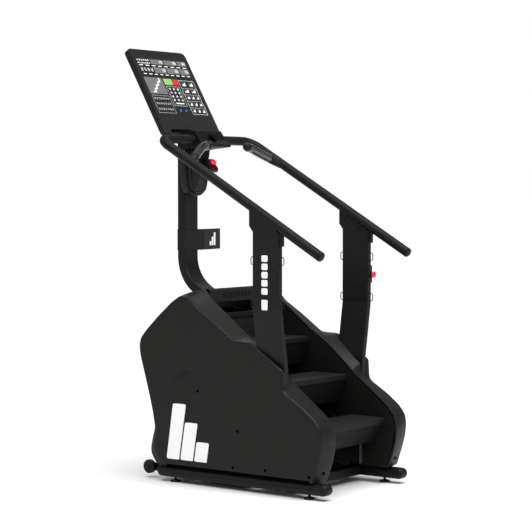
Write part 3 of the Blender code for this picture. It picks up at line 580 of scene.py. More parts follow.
def stripPlug():
    # where the plug low on a front strip sits, and the way it faces, square to the strip
    inner, crease = alongOutline()
    share, lip = shell["plugShare"], shell["lip"]
    strip = inner + (crease - inner) * share
    offset = np.abs(strip[:, 1] - shell["plugHeight"])
    low = np.where((strip[:, 0] < 0) & (offset < 0.03))[0]
    spot = low[offset[low].argmin()]
    run = unit(strip[(spot + 3) % len(strip)] - strip[spot - 3])
    facing = np.array([0.0, run[1], -run[0]])
    facing *= np.sign(-facing[1])
    across = shell["wellSide"] + lip + (shell["crease"] - shell["wellSide"] - lip) * share
    return np.array([across, *strip[spot]]), facing


def buildShells():
    solid = shellSolid()
    screwHead = rounded(shell["screwHead"], 0.0006, 2)
    for name, side, _ in sides:
        shown = solid if side > 0 else flipped(solid)
        piece = makePiece(f"casingShell.{name}", shown, "shell", "shell_plastic",
                          [f"shell_{name}"], angle=50.0, outward=False)
        biggest = max(piece.data.polygons, key=lambda face: face.area)
        if biggest.normal.x * side < 0:
            piece.data.flip_normals()
        wall = piece.modifiers.new("wall", "SOLIDIFY")
        wall.thickness = shell["wall"]
        wall.offset = -1.0
        spots = [(side * (shell["side"] + 0.0006), across, up) for across, up in shell["screws"]]
        makePiece(f"casingScrews.{name}", discs(spots, screwHead, (side, 0, 0)), "dark",
                  "frame_paint")
    plug, facing = stripPlug()
    for name, side, seat in sides:
        place = plug * (side, 1.0, 1.0) + facing * shell["plugSunk"]
        makePiece(f"casingPlug.{name}", discs([place], screwHead, facing), "dark", "frame_paint")
        # flat oval tube: round closed ends and wide rounded long edges
        low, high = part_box(f"base_rail_{name}")
        tube = roundedBox(low.y - feetMiddle, low.z + baseRail["trim"], high.y - feetMiddle,
                          high.z, baseRail["end"], 8)
        makePiece(f"ovalRail.{name}", prism(tube, baseRail["inner"], baseRail["outer"], seat,
                                            baseRail["edge"], 6),
                  "frame", "frame_paint", [f"base_rail_{name}"])
        # a near-black strip set in the gap between the shell's foot and the base rail: painted
        # shadow under the shell's bottom edge
        deep, near = shell["shadowStripDepth"]
        makePiece(f"casingShadowStrip.{name}", prism(
            roundedBox(*shell["gap"], 0.002), shell["side"] - deep, shell["side"] - near, seat,
            0.0005, 1), "dark", "frame_paint")
    print("side shells and base rails")


buildShells()

rail = {"radius": 0.023, "across": 0.358, "barY": 0.468, "slope": 0.57, "height": 1.4075,
        "start": -0.511, "corner": 0.07, "endRound": 0.01,
        "plugAlong": (0.0112, 0.0118, 0.014, 0.0146), "plugOut": 0.0006}
# each horn on the left, from the rail inwards, then its sleeve to the cap
horns = {"radius": 0.022, "stub": [(-0.356, 0.26, 1.5535), (-0.35, 0.2635, 1.5565),
                                   (-0.3, 0.291, 1.5805)],
         "sleeve": [(-0.235, 0.3195, 1.6125), (-0.19, 0.334, 1.635), (-0.158, 0.328, 1.6395)],
         "bend": 0.06, "up": (0.0, 0.3, 1.0), "slotTurns": (0.45, 2.7), "slotWidth": 0.16,
         "slotDeep": -0.002, "slotOut": 0.0003,
         "cap": [(0.0002, 0.0258), (0.013, 0.024), (0.02, 0.013), (0.0212, 0.004),
                 (0.0218, 0.0002), (0.0002, 0.0002)],
         "seamBack": 0.003, "seamAlong": (0.0, 0.0006, 0.003, 0.0036),
         "seamOut": (-0.0004, 0.0006, 0.0006, -0.0004)}


def railHeight(place):
    return rail["height"] + rail["slope"] * place


def railPath():
    start, bar, across = rail["start"], rail["barY"], rail["across"]
    return filleted([(-across, start, railHeight(start)), (-across, bar, railHeight(bar)),
                     (across, bar, railHeight(bar)), (across, start, railHeight(start))],
                    rail["corner"], 16)


def buildRail():
    path, radii = domed(railPath(), rail["radius"], rail["endRound"])
    normal = (0.0, -rail["slope"], 1.0)
    makePiece("railTube", sweep(path, radii, normal, 56), "grip", "grip_rubber", ["handrail"])
    # end plugs: a thin ring a little proud of the tube, one at each end
    heading = unit(path[8] - path[7]) * (0.0, 1.0, 1.0)
    rings = []
    for _, side, _ in sides:
        start = np.array([side * rail["across"], rail["start"], railHeight(rail["start"])])
        ringPath = start + heading * np.array(rail["plugAlong"])[:, None]
        rings.append(sweep(ringPath, rail["radius"] + rail["plugOut"] * np.array([0, 1, 1, 0]),
                           normal, 56))
    makePiece("railPlugRings", gathered(rings), "dark", "grip_rubber")


def hornSlot(sleeve, lift):
    # a dark sensor slot let into the sleeve, from its turn lift on
    turns = np.linspace(lift, lift + horns["slotWidth"], 4)
    middle = sleeve[3:-3]
    heading = unit(np.gradient(middle, axis=0))
    side = unit(np.cross(heading, horns["up"]))
    up = np.cross(side, heading)
    deep, out = horns["slotDeep"], horns["slotOut"]
    spots = [(deep, turns[0]), *((out, turn) for turn in turns), (deep, turns[-1])]
    rows = [middle + (horns["radius"] + away) * (math.cos(turn) * side + math.sin(turn) * up)
            for away, turn in spots]
    return loft(np.array(rows).transpose(1, 0, 2))


def buildHorns():
    # each horn runs in from the rail: body, dark seam ring, chrome sleeve, end cap
    stub, radius, up = np.array(horns["stub"]), horns["radius"], horns["up"]
    reach = unit(stub[2] - stub[1])
    sleeve = filleted([stub[2] + reach * 0.0006, *horns["sleeve"]], horns["bend"], 10)
    turn = unit(sleeve[-1] - sleeve[-2])
    seams = [sweep(spot - heading * horns["seamBack"]
                   + heading * np.array(horns["seamAlong"])[:, None],
                   radius + np.array(horns["seamOut"]), up, 48)
             for spot, heading in ((stub[-1], reach), (sleeve[-1], turn))]
    parts = {
        "hornBody": (sweep(stub, radius, up, 48), "casing", "grip_pod_"),
        "pulseSleeve": (sweep(sleeve, radius, up, 48), "chrome", "grip_sensor_"),
        "hornCap": (revolve(rounded(horns["cap"], 0.006, 5), sleeve[-1] + turn * 0.0003, turn),
                    "casing", "grip_cap_"),
        "hornSeams": (gathered(seams), "dark", None),
        "sleeveSlots": (gathered([hornSlot(sleeve, lift) for lift in horns["slotTurns"]]), "dark",
                        None)}
    for name, side, _ in sides:
        for part, (solid, finish, node) in parts.items():
            makePiece(f"{part}.{name}", solid if side < 0 else flipped(solid), finish,
                      "sensor_chrome" if finish == "chrome" else "shell_plastic",
                      [node + name] if node else ())


buildRail()
buildHorns()
print("handrail and grips")

posts = {"outer": 0.378, "inner": 0.3465, "boltSpots": [(-0.132, 1.281), (-0.218, 1.233)],
         "hexHead": [(0.0002, -0.001), (0.0068, -0.001), (0.0068, 0.004), (0.006, 0.0048),
                     (0.0002, 0.0048)],
         "washer": [(0.0002, -0.001), (0.01, -0.001), (0.01, 0.0012), (0.0002, 0.0012)],
         "barMiddle": -0.196, "barHalf": 0.018, "ink": 0.0003,
         "signLow": 0.868, "signTall": 0.048, "barLows": (0.94, 0.978, 1.016, 1.054, 1.092),
         "barTall": 0.03}
sidePrint = {"tops": (0.215, 0.304, 0.392), "front": 0.124, "pitch": 0.0855, "slant": 0.045,
             "wide": 0.077, "low": 0.12, "corner": 0.01}


def buildPosts():
    washer = rounded(posts["washer"], 0.0004, 2)
    for name, side, _ in sides:
        spots = [(side * (posts["inner"] - 0.0005), *spot) for spot in posts["boltSpots"]]
        solids = [revolve(posts["hexHead"], spot, (-side, 0, 0), 6) for spot in spots]
        solids += [revolve(washer, spot, (-side, 0, 0), 28) for spot in spots]
        makePiece(f"bracketBolts.{name}", gathered(solids), "bolt", "drive_steel", angle=25.0)
    # plain print on the left upright's outer face: a column of barred blocks over a larger one
    middle, half = posts["barMiddle"], posts["barHalf"]
    low, high = posts["outer"] - 0.0001, posts["outer"] + posts["ink"]
    left, right, sign = middle - half, middle + half, posts["signLow"]
    boxes = [((left, sign, right, sign + posts["signTall"], 0.006), low, high)]
    for foot in posts["barLows"]:
        boxes += [((left, foot, right, foot + posts["barTall"], 0.006), low, high),
                  ((middle - half * 0.5, foot + 0.01, middle + half * 0.6, foot + 0.02, 0.002),
                   high - 0.0002, high + 0.0002)]
    solids = [prism(roundedBox(*box), back, front, leftSeat, 0.0001, 1)
              for box, back, front in boxes]
    makePiece("uprightPrint", gathered(solids), "white", "shell_plastic")


def buildSidePrint():
    # a plain stair sign on each shell's side: three slanted blocks that rise to the rear
    low, wide, slant, top = (sidePrint[key] for key in ("low", "wide", "slant", "tops"))
    blocks = []
    for count, high in enumerate(top):
        foot = sidePrint["front"] + count * sidePrint["pitch"] + slant
        head = foot - slant * (high - low) / (top[-1] - low)
        outline = [(foot, low), (foot + wide, low), (head + wide, high), (head, high)]
        blocks.append(denser(rounded(outline + outline[:1], sidePrint["corner"], 4)[1:]))
    for name, _, seat in sides:
        makePiece(f"casingPrint.{name}", gathered([drape(outline, seat) for outline in blocks]),
                  "white", "shell_plastic")


def denser(outline, spacing=0.006):
    # a closed outline with points added so that none are further apart than spacing
    closed = np.r_[outline, outline[:1]]
    reach = np.r_[0, np.cumsum(np.linalg.norm(np.diff(closed, axis=0), axis=1))]
    spots = np.linspace(0, reach[-1], int(reach[-1] / spacing), endpoint=False)
    return np.stack([np.interp(spots, reach, closed[:, column]) for column in range(2)], 1)


def drape(outline, seat):
    # a print that follows the side's relief: rings drawn in to its middle, 0.4 mm proud
    middle = outline.mean(0)
    rings = []
    for share, out in [(1.0, -0.0015), (1.0, 0.0004),
                       *((share, 0.0004) for share in np.linspace(0.93, 0.02, 12))]:
        spots = middle + (outline - middle) * share
        rings.append(np.c_[spots, shell["side"] + fenderRise(spots) + out])
    points, faces = loft(np.array(rings))
    return seat(points), faces


buildPosts()
buildSidePrint()
print("uprights and prints")


panel = {"low": (0.542, 1.7), "top": (0.798, 2.137)}
panelUp = unit(np.array(panel["top"]) - np.array(panel["low"]))
panelOut = np.array([-panelUp[1], panelUp[0]])


def panelSeat(points):
    # across is X, up runs up the tilted panel, and out stands off its face
    spots = np.array(panel["low"]) + points[:, 1, None] * panelUp + points[:, 2, None] * panelOut
    return np.c_[points[:, 0], spots]


def frameOf(left, low, right, high, width):
    # a thin printed border as four bars
    return [(left, low, right, low + width), (left, high - width, right, high),
            (left, low + width, left + width, high - width),
            (right - width, low + width, right, high - width)]


def cells(left, low, right, high, columns, rows, gap):
    # an even grid of boxes with gaps between them
    wide = (right - left - gap * (columns - 1)) / columns
    tall = (high - low - gap * (rows - 1)) / rows
    return [(left + column * (wide + gap), low + row * (tall + gap),
             left + column * (wide + gap) + wide, low + row * (tall + gap) + tall)
            for row in range(rows) for column in range(columns)]


def digits(boxes, share=0.55):
    # seven-segment eights inside boxes: plain bars
    bars = []
    for left, low, right, high in boxes:
        wide, tall = (right - left), (high - low)
        thick = min(wide, tall) * 0.14
        inLeft, inRight = left + wide * (1 - share) / 2, right - wide * (1 - share) / 2
        inLow, inHigh = low + tall * 0.2, high - tall * 0.2
        middle = (inLow + inHigh) / 2
        bars += [(inLeft, inHigh - thick, inRight, inHigh), (inLeft, inLow, inRight, inLow + thick),
                 (inLeft, middle - thick / 2, inRight, middle + thick / 2),
                 (inLeft, inLow, inLeft + thick, inHigh), (inRight - thick, inLow, inRight, inHigh)]
    return bars


# prints and keys on the fascia: boxes are (left, low, right, high) up the panel, grids add
# columns, rows and gap, and borders add a width; each kind's height is (from, to)
fascia = {
    "ink": (0.0001, 0.0004), "segment": (0.0003, 0.0006), "key": (0.0001, 0.001),
    "bigKey": (0.0001, 0.0012), "mark": (0.0009, 0.0012), "groove": (0.0001, 0.0006),
    "windows": [(-0.088, 0.418, 0.008, 0.447), (0.016, 0.418, 0.112, 0.447),
                (0.12, 0.418, 0.186, 0.447), (-0.084, 0.366, 0.006, 0.4),
                (0.014, 0.366, 0.104, 0.4), (0.112, 0.366, 0.184, 0.4)],
    "graph": (-0.195, 0.238, -0.06, 0.336), "graphStart": (-0.166, 0.246), "graphStep": 0.02,
    "readings": [(-0.19, 0.432, -0.096, 0.447, 6, 1, 0.003),
                 (-0.19, 0.415, -0.096, 0.428, 7, 1, 0.003),
                 (-0.185, 0.368, -0.094, 0.398, 4, 1, 0.01)],
    "captions": [(-0.185, 0.406, 0.178, 0.4105, 8, 1, 0.02),
                 (-0.18, 0.3545, 0.178, 0.359, 9, 1, 0.018)],
    "borders": [(0.066, 0.125, 0.184, 0.329, 0.0016), (-0.05, 0.172, 0.05, 0.288, 0.0012)],
    "rules": (0.166, 0.206, 0.244, 0.282),
    "listBorder": (-0.193, 0.126, -0.062, 0.229, 0.0016), "listRows": (0.202, 0.172, 0.14),
    "keys": [(0.074, 0.25, 0.176, 0.278, 2, 1, 0.006), (0.074, 0.212, 0.176, 0.238, 3, 1, 0.006),
             (0.074, 0.171, 0.176, 0.2, 3, 1, 0.01), (0.074, 0.132, 0.176, 0.16, 3, 1, 0.01),
             (0.076, 0.288, 0.174, 0.322, 2, 1, 0.014)],
    "keypad": (-0.044, 0.198, 0.044, 0.28, 3, 4, 0.005),
    "wideKey": (-0.044, 0.179, 0.044, 0.193), "wideMark": (-0.03, 0.183, 0.03, 0.189),
    # 'slot' places a flat dark strip near the panel's lower edge
    "slot": (-0.165, 0.012, -0.01, 0.031), "start": (-0.052, 0.296, 0.012, 0.333),
    "halt": (0.016, 0.296, 0.06, 0.333), "grooves": (-0.1, 0.47, 0.1, 0.493, 9, 1, 0.008),
    "lamp": [(0.0002, 0.0), (0.0058, 0.0), (0.0058, 0.001), (0.0002, 0.002)],
    "lampSpots": (-0.02, 0.022), "lampUp": 0.144,
}


def onPanel(name, boxes, kind, finish, radius=0.0004, edge=0.0):
    # flat plates on the panel, all of one kind
    low, high = fascia[kind]
    solids = [prism(roundedBox(*box, min(radius, (box[2] - box[0]) / 2.1, (box[3] - box[1]) / 2.1)),
                    low, high, panelSeat, edge, 2) for box in boxes]
    makePiece(name, gathered(solids), finish, "fascia_gloss")


def grids(key, share=None):
    # the cells of each grid under a key, or the digits inside them
    boxes = [box for grid in fascia[key] for box in cells(*grid)]
    return boxes if share is None else digits(boxes, share)


def buildFascia():
    windows, wide = fascia["windows"], fascia["graphStep"]
    onPanel("displayWindows", [*windows, fascia["graph"]], "ink", "window", 0.002)
    lit = grids("readings", 0.8)
    for left, low, right, high in windows:
        last = cells(right - 0.03, low + 0.003, right - 0.002, high - 0.001, 2, 1, 0.002)
        lit += digits(last, 0.85)
    for count in range(4):
        # the graph's line climbs like stairs
        left, low = (start + count * wide for start in fascia["graphStart"])
        lit += [(left, low, left + 0.025, low + 0.0075),
                (left + 0.0175, low, left + 0.025, low + 0.0275)]
    onPanel("displaySegments", lit, "segment", "white", 0.0006)
    printed = grids("captions")
    for border in fascia["borders"]:
        printed += frameOf(*border)
    printed += [(0.07, low - 0.0018, 0.18, low - 0.0008) for low in fascia["rules"]]
    onPanel("fasciaPrint", printed, "ink", "white")
    faint = frameOf(*fascia["listBorder"])
    for low in fascia["listRows"]:
        faint += digits(cells(-0.184, low, -0.072, low + 0.018, 7, 1, 0.004), 0.8)
    onPanel("fasciaFaintPrint", faint, "ink", "dim")
    keys = grids("keys")
    onPanel("fasciaKeys", keys, "key", "grey", 0.003, 0.0003)
    marks = []
    for left, low, right, high in keys:
        # each key's sign is three rising blocks
        wide, tall = right - left, high - low
        for count, top in enumerate((0.46, 0.62, 0.8)):
            marks.append((left + wide * (0.2 + 0.21 * count), low + tall * 0.22,
                          left + wide * (0.37 + 0.21 * count), low + tall * top))
    onPanel("keyMarks", marks, "mark", "white")
    keypad = cells(*fascia["keypad"])
    onPanel("keypadKeys", [*keypad, fascia["wideKey"]], "key", "grey", 0.003, 0.0003)
    onPanel("keypadNumbers", [*digits(keypad, 0.42), fascia["wideMark"]], "mark", "white")
    # a flat near-black strip near the panel's lower edge, 0.1 to 0.4 mm proud of it
    onPanel("fasciaDarkStrip", [fascia["slot"]], "ink", "dark", 0.003)
    onPanel("startKey", [fascia["start"]], "bigKey", "green", 0.004, 0.0004)
    onPanel("haltKey", [fascia["halt"]], "bigKey", "redInk", 0.004, 0.0004)
    lamp = rounded(fascia["lamp"], 0.0008, 3)
    spots = panelSeat(np.array([[across, fascia["lampUp"], 0.0002]
                                for across in fascia["lampSpots"]]))
    makePiece("pulseLamps", discs(spots, lamp, np.r_[0.0, panelOut]), "blue", "fascia_gloss")
    # plain grooves along the top
    onPanel("topGrooves", cells(*fascia["grooves"]), "groove", "casing", 0.002, 0.0002)
    print("console fascia")


outlet = {"place": (0.0, 0.424, 1.677), "face": (0.0, -0.807, 0.59), "up": (0.0, 0.59, 0.807),
          "ring": [(0.0232, -0.007), (0.0243, -0.007), (0.0262, 0.0004), (0.0252, 0.0016),
                   (0.0236, 0.0006), (0.0232, -0.007)],
          "bezel": [(0.0264, 0.0002), (0.0312, 0.0002), (0.0312, 0.0012), (0.0264, 0.0018),
                    (0.0264, 0.0002)],
          "well": [(0.0002, -0.0097), (0.024, -0.0097), (0.024, -0.0085), (0.0002, -0.0085)],
          "vane": [(-0.0002, -0.0085), (0.0006, -0.0085), (0.0022, -0.0045), (0.0014, -0.0045)],
          "vaneLifts": (-0.013, 0.0, 0.013), "vaneReach": 0.0232}


def buildNose():
    # air outlet: a ring in a flat bezel, a dark well and slanted vanes
    face, middle, up = unit(outlet["face"]), np.array(outlet["place"]), np.array(outlet["up"])
    makePiece("outletRing", hoop(rounded(outlet["ring"], 0.0005, 2)[:-1], middle, face), "grip",
              "shell_plastic")
    makePiece("outletBezel", hoop(rounded(outlet["bezel"], 0.0004, 2)[:-1], middle, face), "dark",
              "shell_plastic")
    # the well is near-black, darker than the nose: partly the outlet's own black plastic, partly
    # painted shade deep in the opening
    makePiece("outletWell", revolve(outlet["well"], middle, face), "dark", "shell_plastic")
    vanes = []
    for lift in outlet["vaneLifts"]:
        reach = math.sqrt(outlet["vaneReach"] ** 2 - lift ** 2)
        vanes.append(loft(np.array([
            [middle + np.array([across, 0, 0]) + up * (lift + rise) + face * out
             for rise, out in outlet["vane"]] for across in (-reach, reach)])))
    makePiece("outletVanes", gathered(vanes), "dark", "shell_plastic", angle=20.0)


# half of the pod's outline from its foot up, and its layers as (inset, low, high, edge, steps)
pod = {"half": [(0.0, 1.3925), (0.036, 1.396), (0.06, 1.407), (0.077, 1.43), (0.086, 1.465),
                (0.091, 1.52), (0.0945, 1.58), (0.0945, 1.64)], "corner": 0.014,
       "body": (0.0, -0.564, -0.527, 0.01, 5), "plate": (0.0155, -0.529, -0.5125, 0.004, 4),
       "seam": (0.013, -0.5285, -0.5262, 0.0004, 1)}


def buildPod():
    # the pod's front plate stands off its sides with a dark seam round it
    half = pod["half"]
    outline = half + [(-across, up) for across, up in reversed(half[1:])]
    soft = rounded(outline + outline[:1], pod["corner"], 5)[1:]

    def layer(back, low, high, edge, steps):
        return prism(inset(soft, back), low, high, frontSeat, edge, steps)

    makePiece("podBody", gathered([layer(*pod["body"]), layer(*pod["plate"])]), "casing",
              "shell_plastic", ["console_pod"], angle=30.0)
    makePiece("podSeam", layer(*pod["seam"]), "dark", "shell_plastic")


buildFascia()
buildNose()
buildPod()

stops = {"mushroom": [(0.0002, 0.024), (0.006, 0.0238), (0.012, 0.0228), (0.0166, 0.0205),
                      (0.0188, 0.0172), (0.0188, 0.014), (0.0176, 0.0116), (0.009, 0.011),
                      (0.009, 0.0004), (0.0002, 0.0004)],
         "tall": 0.024, "stem": 0.0091, "smaller": 0.84, "face": (0.0, -0.8, 0.6),
         "seat": (0.056, 0.4765, 1.5583), "sunk": 0.0035,
         "collar": [(0.0098, -0.0006), (0.014, -0.0006), (0.014, 0.001), (0.0098, 0.001)]}


def buildStops():
    face = unit(stops["face"])
    seat = np.array(stops["seat"]) - face * stops["sunk"]
    makePiece("stopCap.console", revolve(rounded(stops["mushroom"], 0.0012, 3), seat, face, 56),
              "redWithPaintedGlow", "stop_red", ["stop_button_console"], "stop_button_console")
    # the button on the upright is the same shape, as tall as its node is and a little narrower
    low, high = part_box("stop_button_upright")
    root = ((low.x + high.x) / 2, high.y - feetMiddle, (low.z + high.z) / 2)
    share = (high.y - low.y) / stops["tall"]
    small = [(radius * stops["smaller"] if radius > stops["stem"] else radius, height * share)
             for radius, height in stops["mushroom"]]
    makePiece("stopCap.upright", revolve(rounded(small, 0.001, 3), root, (0, -1, 0), 56),
              "redWithPaintedGlow", "stop_red", ["stop_button_upright"], "stop_button_upright")
    ring = rounded(stops["collar"], 0.0003, 2)
    makePiece("stopCollar", hoop(ring, seat + face * 0.0036, face, 40), "bolt", "frame_paint")
    print("stop buttons")


buildStops()

# under is the tread's section below its top, from the rear: (Y from the nosing, Z from the foot)
steps = {"half": 0.245, "depth": 0.205, "thick": 0.03,
         "nosings": [(-0.447, 0.325), (-0.22, 0.522), (0.013, 0.697), (0.25, 0.822)],
         "ribPitch": 0.01, "ribDepth": 0.0016, "studPitch": 0.049, "ribBorder": 0.006,
         "under": [(0.205, 0.028), (0.205, 0.0), (0.187, 0.0), (0.183, 0.008), (0.026, 0.008),
                   (0.022, 0.0), (0.004, 0.0), (0.0012, 0.0012), (0.0, 0.004), (0.0, 0.0085),
                   (0.001, 0.0092), (0.001, 0.0106), (0.0, 0.0113), (0.0, 0.0185),
                   (0.001, 0.0192), (0.001, 0.0206), (0.0, 0.0213), (0.0, 0.0245),
                   (0.0008, 0.0272), (0.0028, 0.0292), (0.0055, 0.03)],
         "dimple": 0.012, "dimpleDepth": 0.0011, "riserLong": 0.108, "riserThick": 0.01,
         "riserBack": 0.0045, "firstLean": 58.0, "lean": 75.0}


def softSquare(phase, sharp=5.0):
    # a rounded square wave between 0 and 1
    return 0.5 + 0.5 * np.tanh(sharp * np.cos(2 * math.pi * phase)) / math.tanh(sharp)


def treadSolid(noseY, noseZ):
    # closed rings across the machine: the ribbed top z = nose - depth (1 - rib(y) stud(x))
    half, deep = steps["half"], steps["depth"]
    stations, along = np.linspace(-half, half, 91), np.linspace(0.008, deep - 0.004, 118)
    rib = softSquare((along - 0.008) / steps["ribPitch"])
    stud = np.minimum(softSquare(stations / steps["studPitch"], 14.0) / 0.12, 1.0)
    border = ramp(half - steps["ribBorder"] - np.abs(stations), 0.002)
    inside = ramp(along - 0.022, 0.002) * ramp(deep - 0.012 - along, 0.002)
    groove = steps["ribDepth"] * (1 - rib[None] * stud[:, None]) * border[:, None] * inside[None]
    top = np.stack([np.broadcast_to(noseY + along, groove.shape), noseZ - groove], -1)
    under = np.array(steps["under"]) + (noseY, noseZ - steps["thick"])
    rest = np.broadcast_to(under, (len(stations), *under.shape))
    return spread(stations, np.concatenate([top, rest], 1))


def riserSolid(noseY, noseZ, lean):
    # a leaning plate whose front is dimpled: front(x, t) = top + t down + inwards dimple(x, t)
    down = np.array([math.cos(lean), -math.sin(lean)])
    inwards = np.array([math.sin(lean), math.cos(lean)])
    top = np.array([noseY + steps["riserBack"], noseZ - steps["thick"] - 0.0004])
    half, reach, thick = steps["half"] - 0.002, steps["riserLong"], steps["riserThick"]
    stations, spots = np.linspace(-half, half, 321), np.linspace(0.0, reach, 73)
    wave = 2 * math.pi / steps["dimple"]
    grid = np.cos(wave * stations)[:, None] * np.cos(wave * (spots - reach / 2))[None]
    edge = (ramp(half - 0.01 - np.abs(stations), 0.003)[:, None]
            * ramp(spots - 0.006, 0.003) * ramp(reach - 0.006 - spots, 0.003))
    depth = steps["dimpleDepth"] * (0.5 + 0.5 * np.tanh(3.0 * grid)) * edge
    front = top + spots[None, :, None] * down + depth[..., None] * inwards
    back = np.array([top + reach * down + thick * inwards,
                     (top[0] + thick / math.sin(lean), top[1])])
    rest = np.broadcast_to(back, (len(stations), 2, 2))
    return spread(stations, np.concatenate([front, rest], 1))


def buildSteps():
    for number, nosing in enumerate(steps["nosings"], start=1):
        lean = math.radians(steps["firstLean"] if number == 1 else steps["lean"])
        makePiece(f"ribbedTread.{number}", treadSolid(*nosing), "tread", "tread_plastic",
                  [f"tread_{number}"], f"step_{number}", angle=50.0)
        makePiece(f"dimpledRiser.{number}", riserSolid(*nosing, lean),
                  "topRiser" if number == 4 else "riser", "tread_plastic", [f"riser_{number}"],
                  f"step_{number}", angle=50.0)
    print("steps")


buildSteps()


wheels = {"tyre": [(0.0086, 0.0118), (0.0148, 0.0118), (0.0162, 0.0088), (0.0262, 0.0088),
                   (0.0278, 0.0113), (0.0318, 0.0113), (0.034, 0.0085), (0.034, -0.0085),
                   (0.0318, -0.0113), (0.0278, -0.0113), (0.0262, -0.0088), (0.0162, -0.0088),
                   (0.0148, -0.0118), (0.0086, -0.0118)],
          "spokes": 6, "spokeReach": (0.0158, 0.0268),
          "spoke": [(0.0084, -0.0016), (0.0104, -0.0009), (0.0104, 0.0009), (0.0084, 0.0016)],
          "bolt": [(0.0002, 0.0), (0.007, 0.0), (0.007, 0.0018), (0.004, 0.0026),
                   (0.0002, 0.0026)], "boltSunk": 0.0004}


def wheelSpoke(place, turn, out):
    # a rib on one face of a wheel, from its hub to its rim
    radial = np.array([0.0, math.cos(turn), math.sin(turn)])
    tangent = np.array([0.0, -math.sin(turn), math.cos(turn)])
    return loft(np.array([[place + np.array([out * away, 0, 0]) + radial * reach + tangent * width
                           for away, width in wheels["spoke"]] for reach in wheels["spokeReach"]]))


def buildWheels():
    tyre, bolt = rounded(wheels["tyre"], 0.001, 3), rounded(wheels["bolt"], 0.0006, 3)
    turns = np.arange(wheels["spokes"]) * 2 * math.pi / wheels["spokes"]
    for name, side, _ in sides:
        node = f"transport_wheel_{name}"
        place = np.array(middleOf(node)) - (0.0, feetMiddle, 0.0)
        makePiece(f"wheelTyre.{name}", hoop(tyre, place, (1, 0, 0), 64), "wheel", "wheel_plastic",
                  [node], node)
        spokes = [wheelSpoke(place, turn, out) for turn in turns for out in (1.0, -1.0)]
        makePiece(f"wheelSpokes.{name}", gathered(spokes), "wheel", "wheel_plastic", (), node,
                  angle=25.0)
        low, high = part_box(f"wheel_bracket_{name}")
        outer = (side * (max(abs(low.x), abs(high.x)) - wheels["boltSunk"]), *place[1:])
        makePiece(f"wheelBolt.{name}", revolve(bolt, outer, (side, 0, 0), 32), "bolt",
                  "drive_steel")


feet = {"pad": [(0.0002, 0.0), (0.0256, 0.0), (0.0262, 0.001), (0.0262, 0.005),
                (0.024, 0.0088), (0.013, 0.0098), (0.01, 0.0092), (0.0002, 0.0092)],
        "nut": [(0.0002, 0.009), (0.0105, 0.009), (0.0105, 0.0126), (0.0096, 0.0134),
                (0.0002, 0.0134)],
        "thread": 0.0058, "threadCut": 0.0004, "threadLow": 0.0132, "threadTop": 0.052}


def buildFeet():
    pad = rounded(feet["pad"], 0.0012, 3)
    heights = np.arange(feet["threadLow"], feet["threadTop"], feet["threadCut"])
    thread = [(0.0002, 0.013), *((feet["thread"] - feet["threadCut"] * (index % 2), height)
                                  for index, height in enumerate(heights)),
              (0.0002, feet["threadTop"])]
    for end in ("front", "rear"):
        for name, _, _ in sides:
            node = f"foot_{end}_{name}"
            low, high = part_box(node)
            place = ((low.x + high.x) / 2, (low.y + high.y) / 2 - feetMiddle, 0.0)
            makePiece(f"levelPad.{end}.{name}", revolve(pad, place, (0, 0, 1)), "wheel",
                      "frame_paint", [node], node)
            screw = [revolve(feet["nut"], place, (0, 0, 1), 6),
                     revolve(thread, place, (0, 0, 1), 20)]
            makePiece(f"levelScrew.{end}.{name}", gathered(screw), "bolt", "frame_paint", (), node,
                      angle=25.0)


buildWheels()
buildFeet()
print("wheels and feet")


trims = {"grooves": (-0.15, 0.9, 0.15, 0.924, 11, 1, 0.01), "groove": (-0.2362, -0.2352),
         "boot": [(0.333, 0.9335), (0.34, 0.9345), (0.39, 0.8985), (0.474, 0.8275),
                  (0.479, 0.8235)], "bootHalf": 0.0552, "bootThick": 0.004,
         "guardAt": 0.203, "guardHalf": 0.012, "guard": (0.096, 0.232), "guardOut": (0.335, 0.339),
         "wing": (0.098, 0.5607), "wingRun": (0.17, 0.0353),
         "signAt": 0.092, "signLow": 1.14, "sign": 0.066, "signOut": (-0.0002, 0.0004)}


def buildTrims():
    # grooves on the hood's front, the boot at the mast's foot, chain guards and the wing's sign
    makePiece("hoodGrooves", gathered([
        prism(roundedBox(*box, 0.004), *trims["groove"], frontSeat, 0.0004, 1)
        for box in cells(*trims["grooves"])]), "riser", "shell_plastic")
    line, half = rounded(trims["boot"], 0.006, 3), trims["bootHalf"]
    section = np.r_[line, line[::-1] - (0.0, trims["bootThick"])]
    makePiece("mastBoot", spread([-half, half], section), "grip", "shell_plastic")
    low, high = trims["guard"]
    guards = [roundedBox(side * trims["guardAt"] - trims["guardHalf"], low,
                         side * trims["guardAt"] + trims["guardHalf"], high, 0.003)
              for _, side, _ in sides]
    makePiece("chainGuards", gathered([prism(outline, *trims["guardOut"], frontSeat, 0.001, 2)
                                       for outline in guards]), "grey", "frame_paint")
    heading = unit(trims["wingRun"])
    outward = np.array([heading[1], -heading[0]])

    def wingSeat(points):
        spot = np.array(trims["wing"]) + points[:, 0, None] * heading + points[:, 2, None] * outward
        return np.c_[spot, points[:, 1]]

    # three rising blocks, a plain sign for stairs
    wide, low = trims["sign"] / 3, trims["signLow"]
    blocks = []
    for count in range(3):
        left = trims["signAt"] + (count - 1.5) * wide * 1.02
        blocks.append(roundedBox(left, low, left + wide * 0.86, low + wide * (count + 1),
                                 trims["sign"] * 0.045))
    makePiece("wingPrint", gathered([prism(block, *trims["signOut"], wingSeat, 0.0001, 1)
                                     for block in blocks]), "white", "shell_plastic")


buildTrims()

# finishes for the CAD nodes that stay shown
kept = {
    "frame": ["base_rail_", "base_cross_", "wheel_bracket_", "side_frame_", "mast", "upright_"],
    "shell": ["well_panel_", "top_cover", "rear_cover"],
    "nose": ["console_nose"],
    "casing": ["console_housing", "stop_box", "stop_plate", "controller_box"],
    "fascia": ["console_fascia"],
    "tread": ["return_step_"],
    "steel": ["drive_shaft", "lower_shaft", "brake_wheel", "step_chain_"],
    "belt": ["drive_belt"],
}


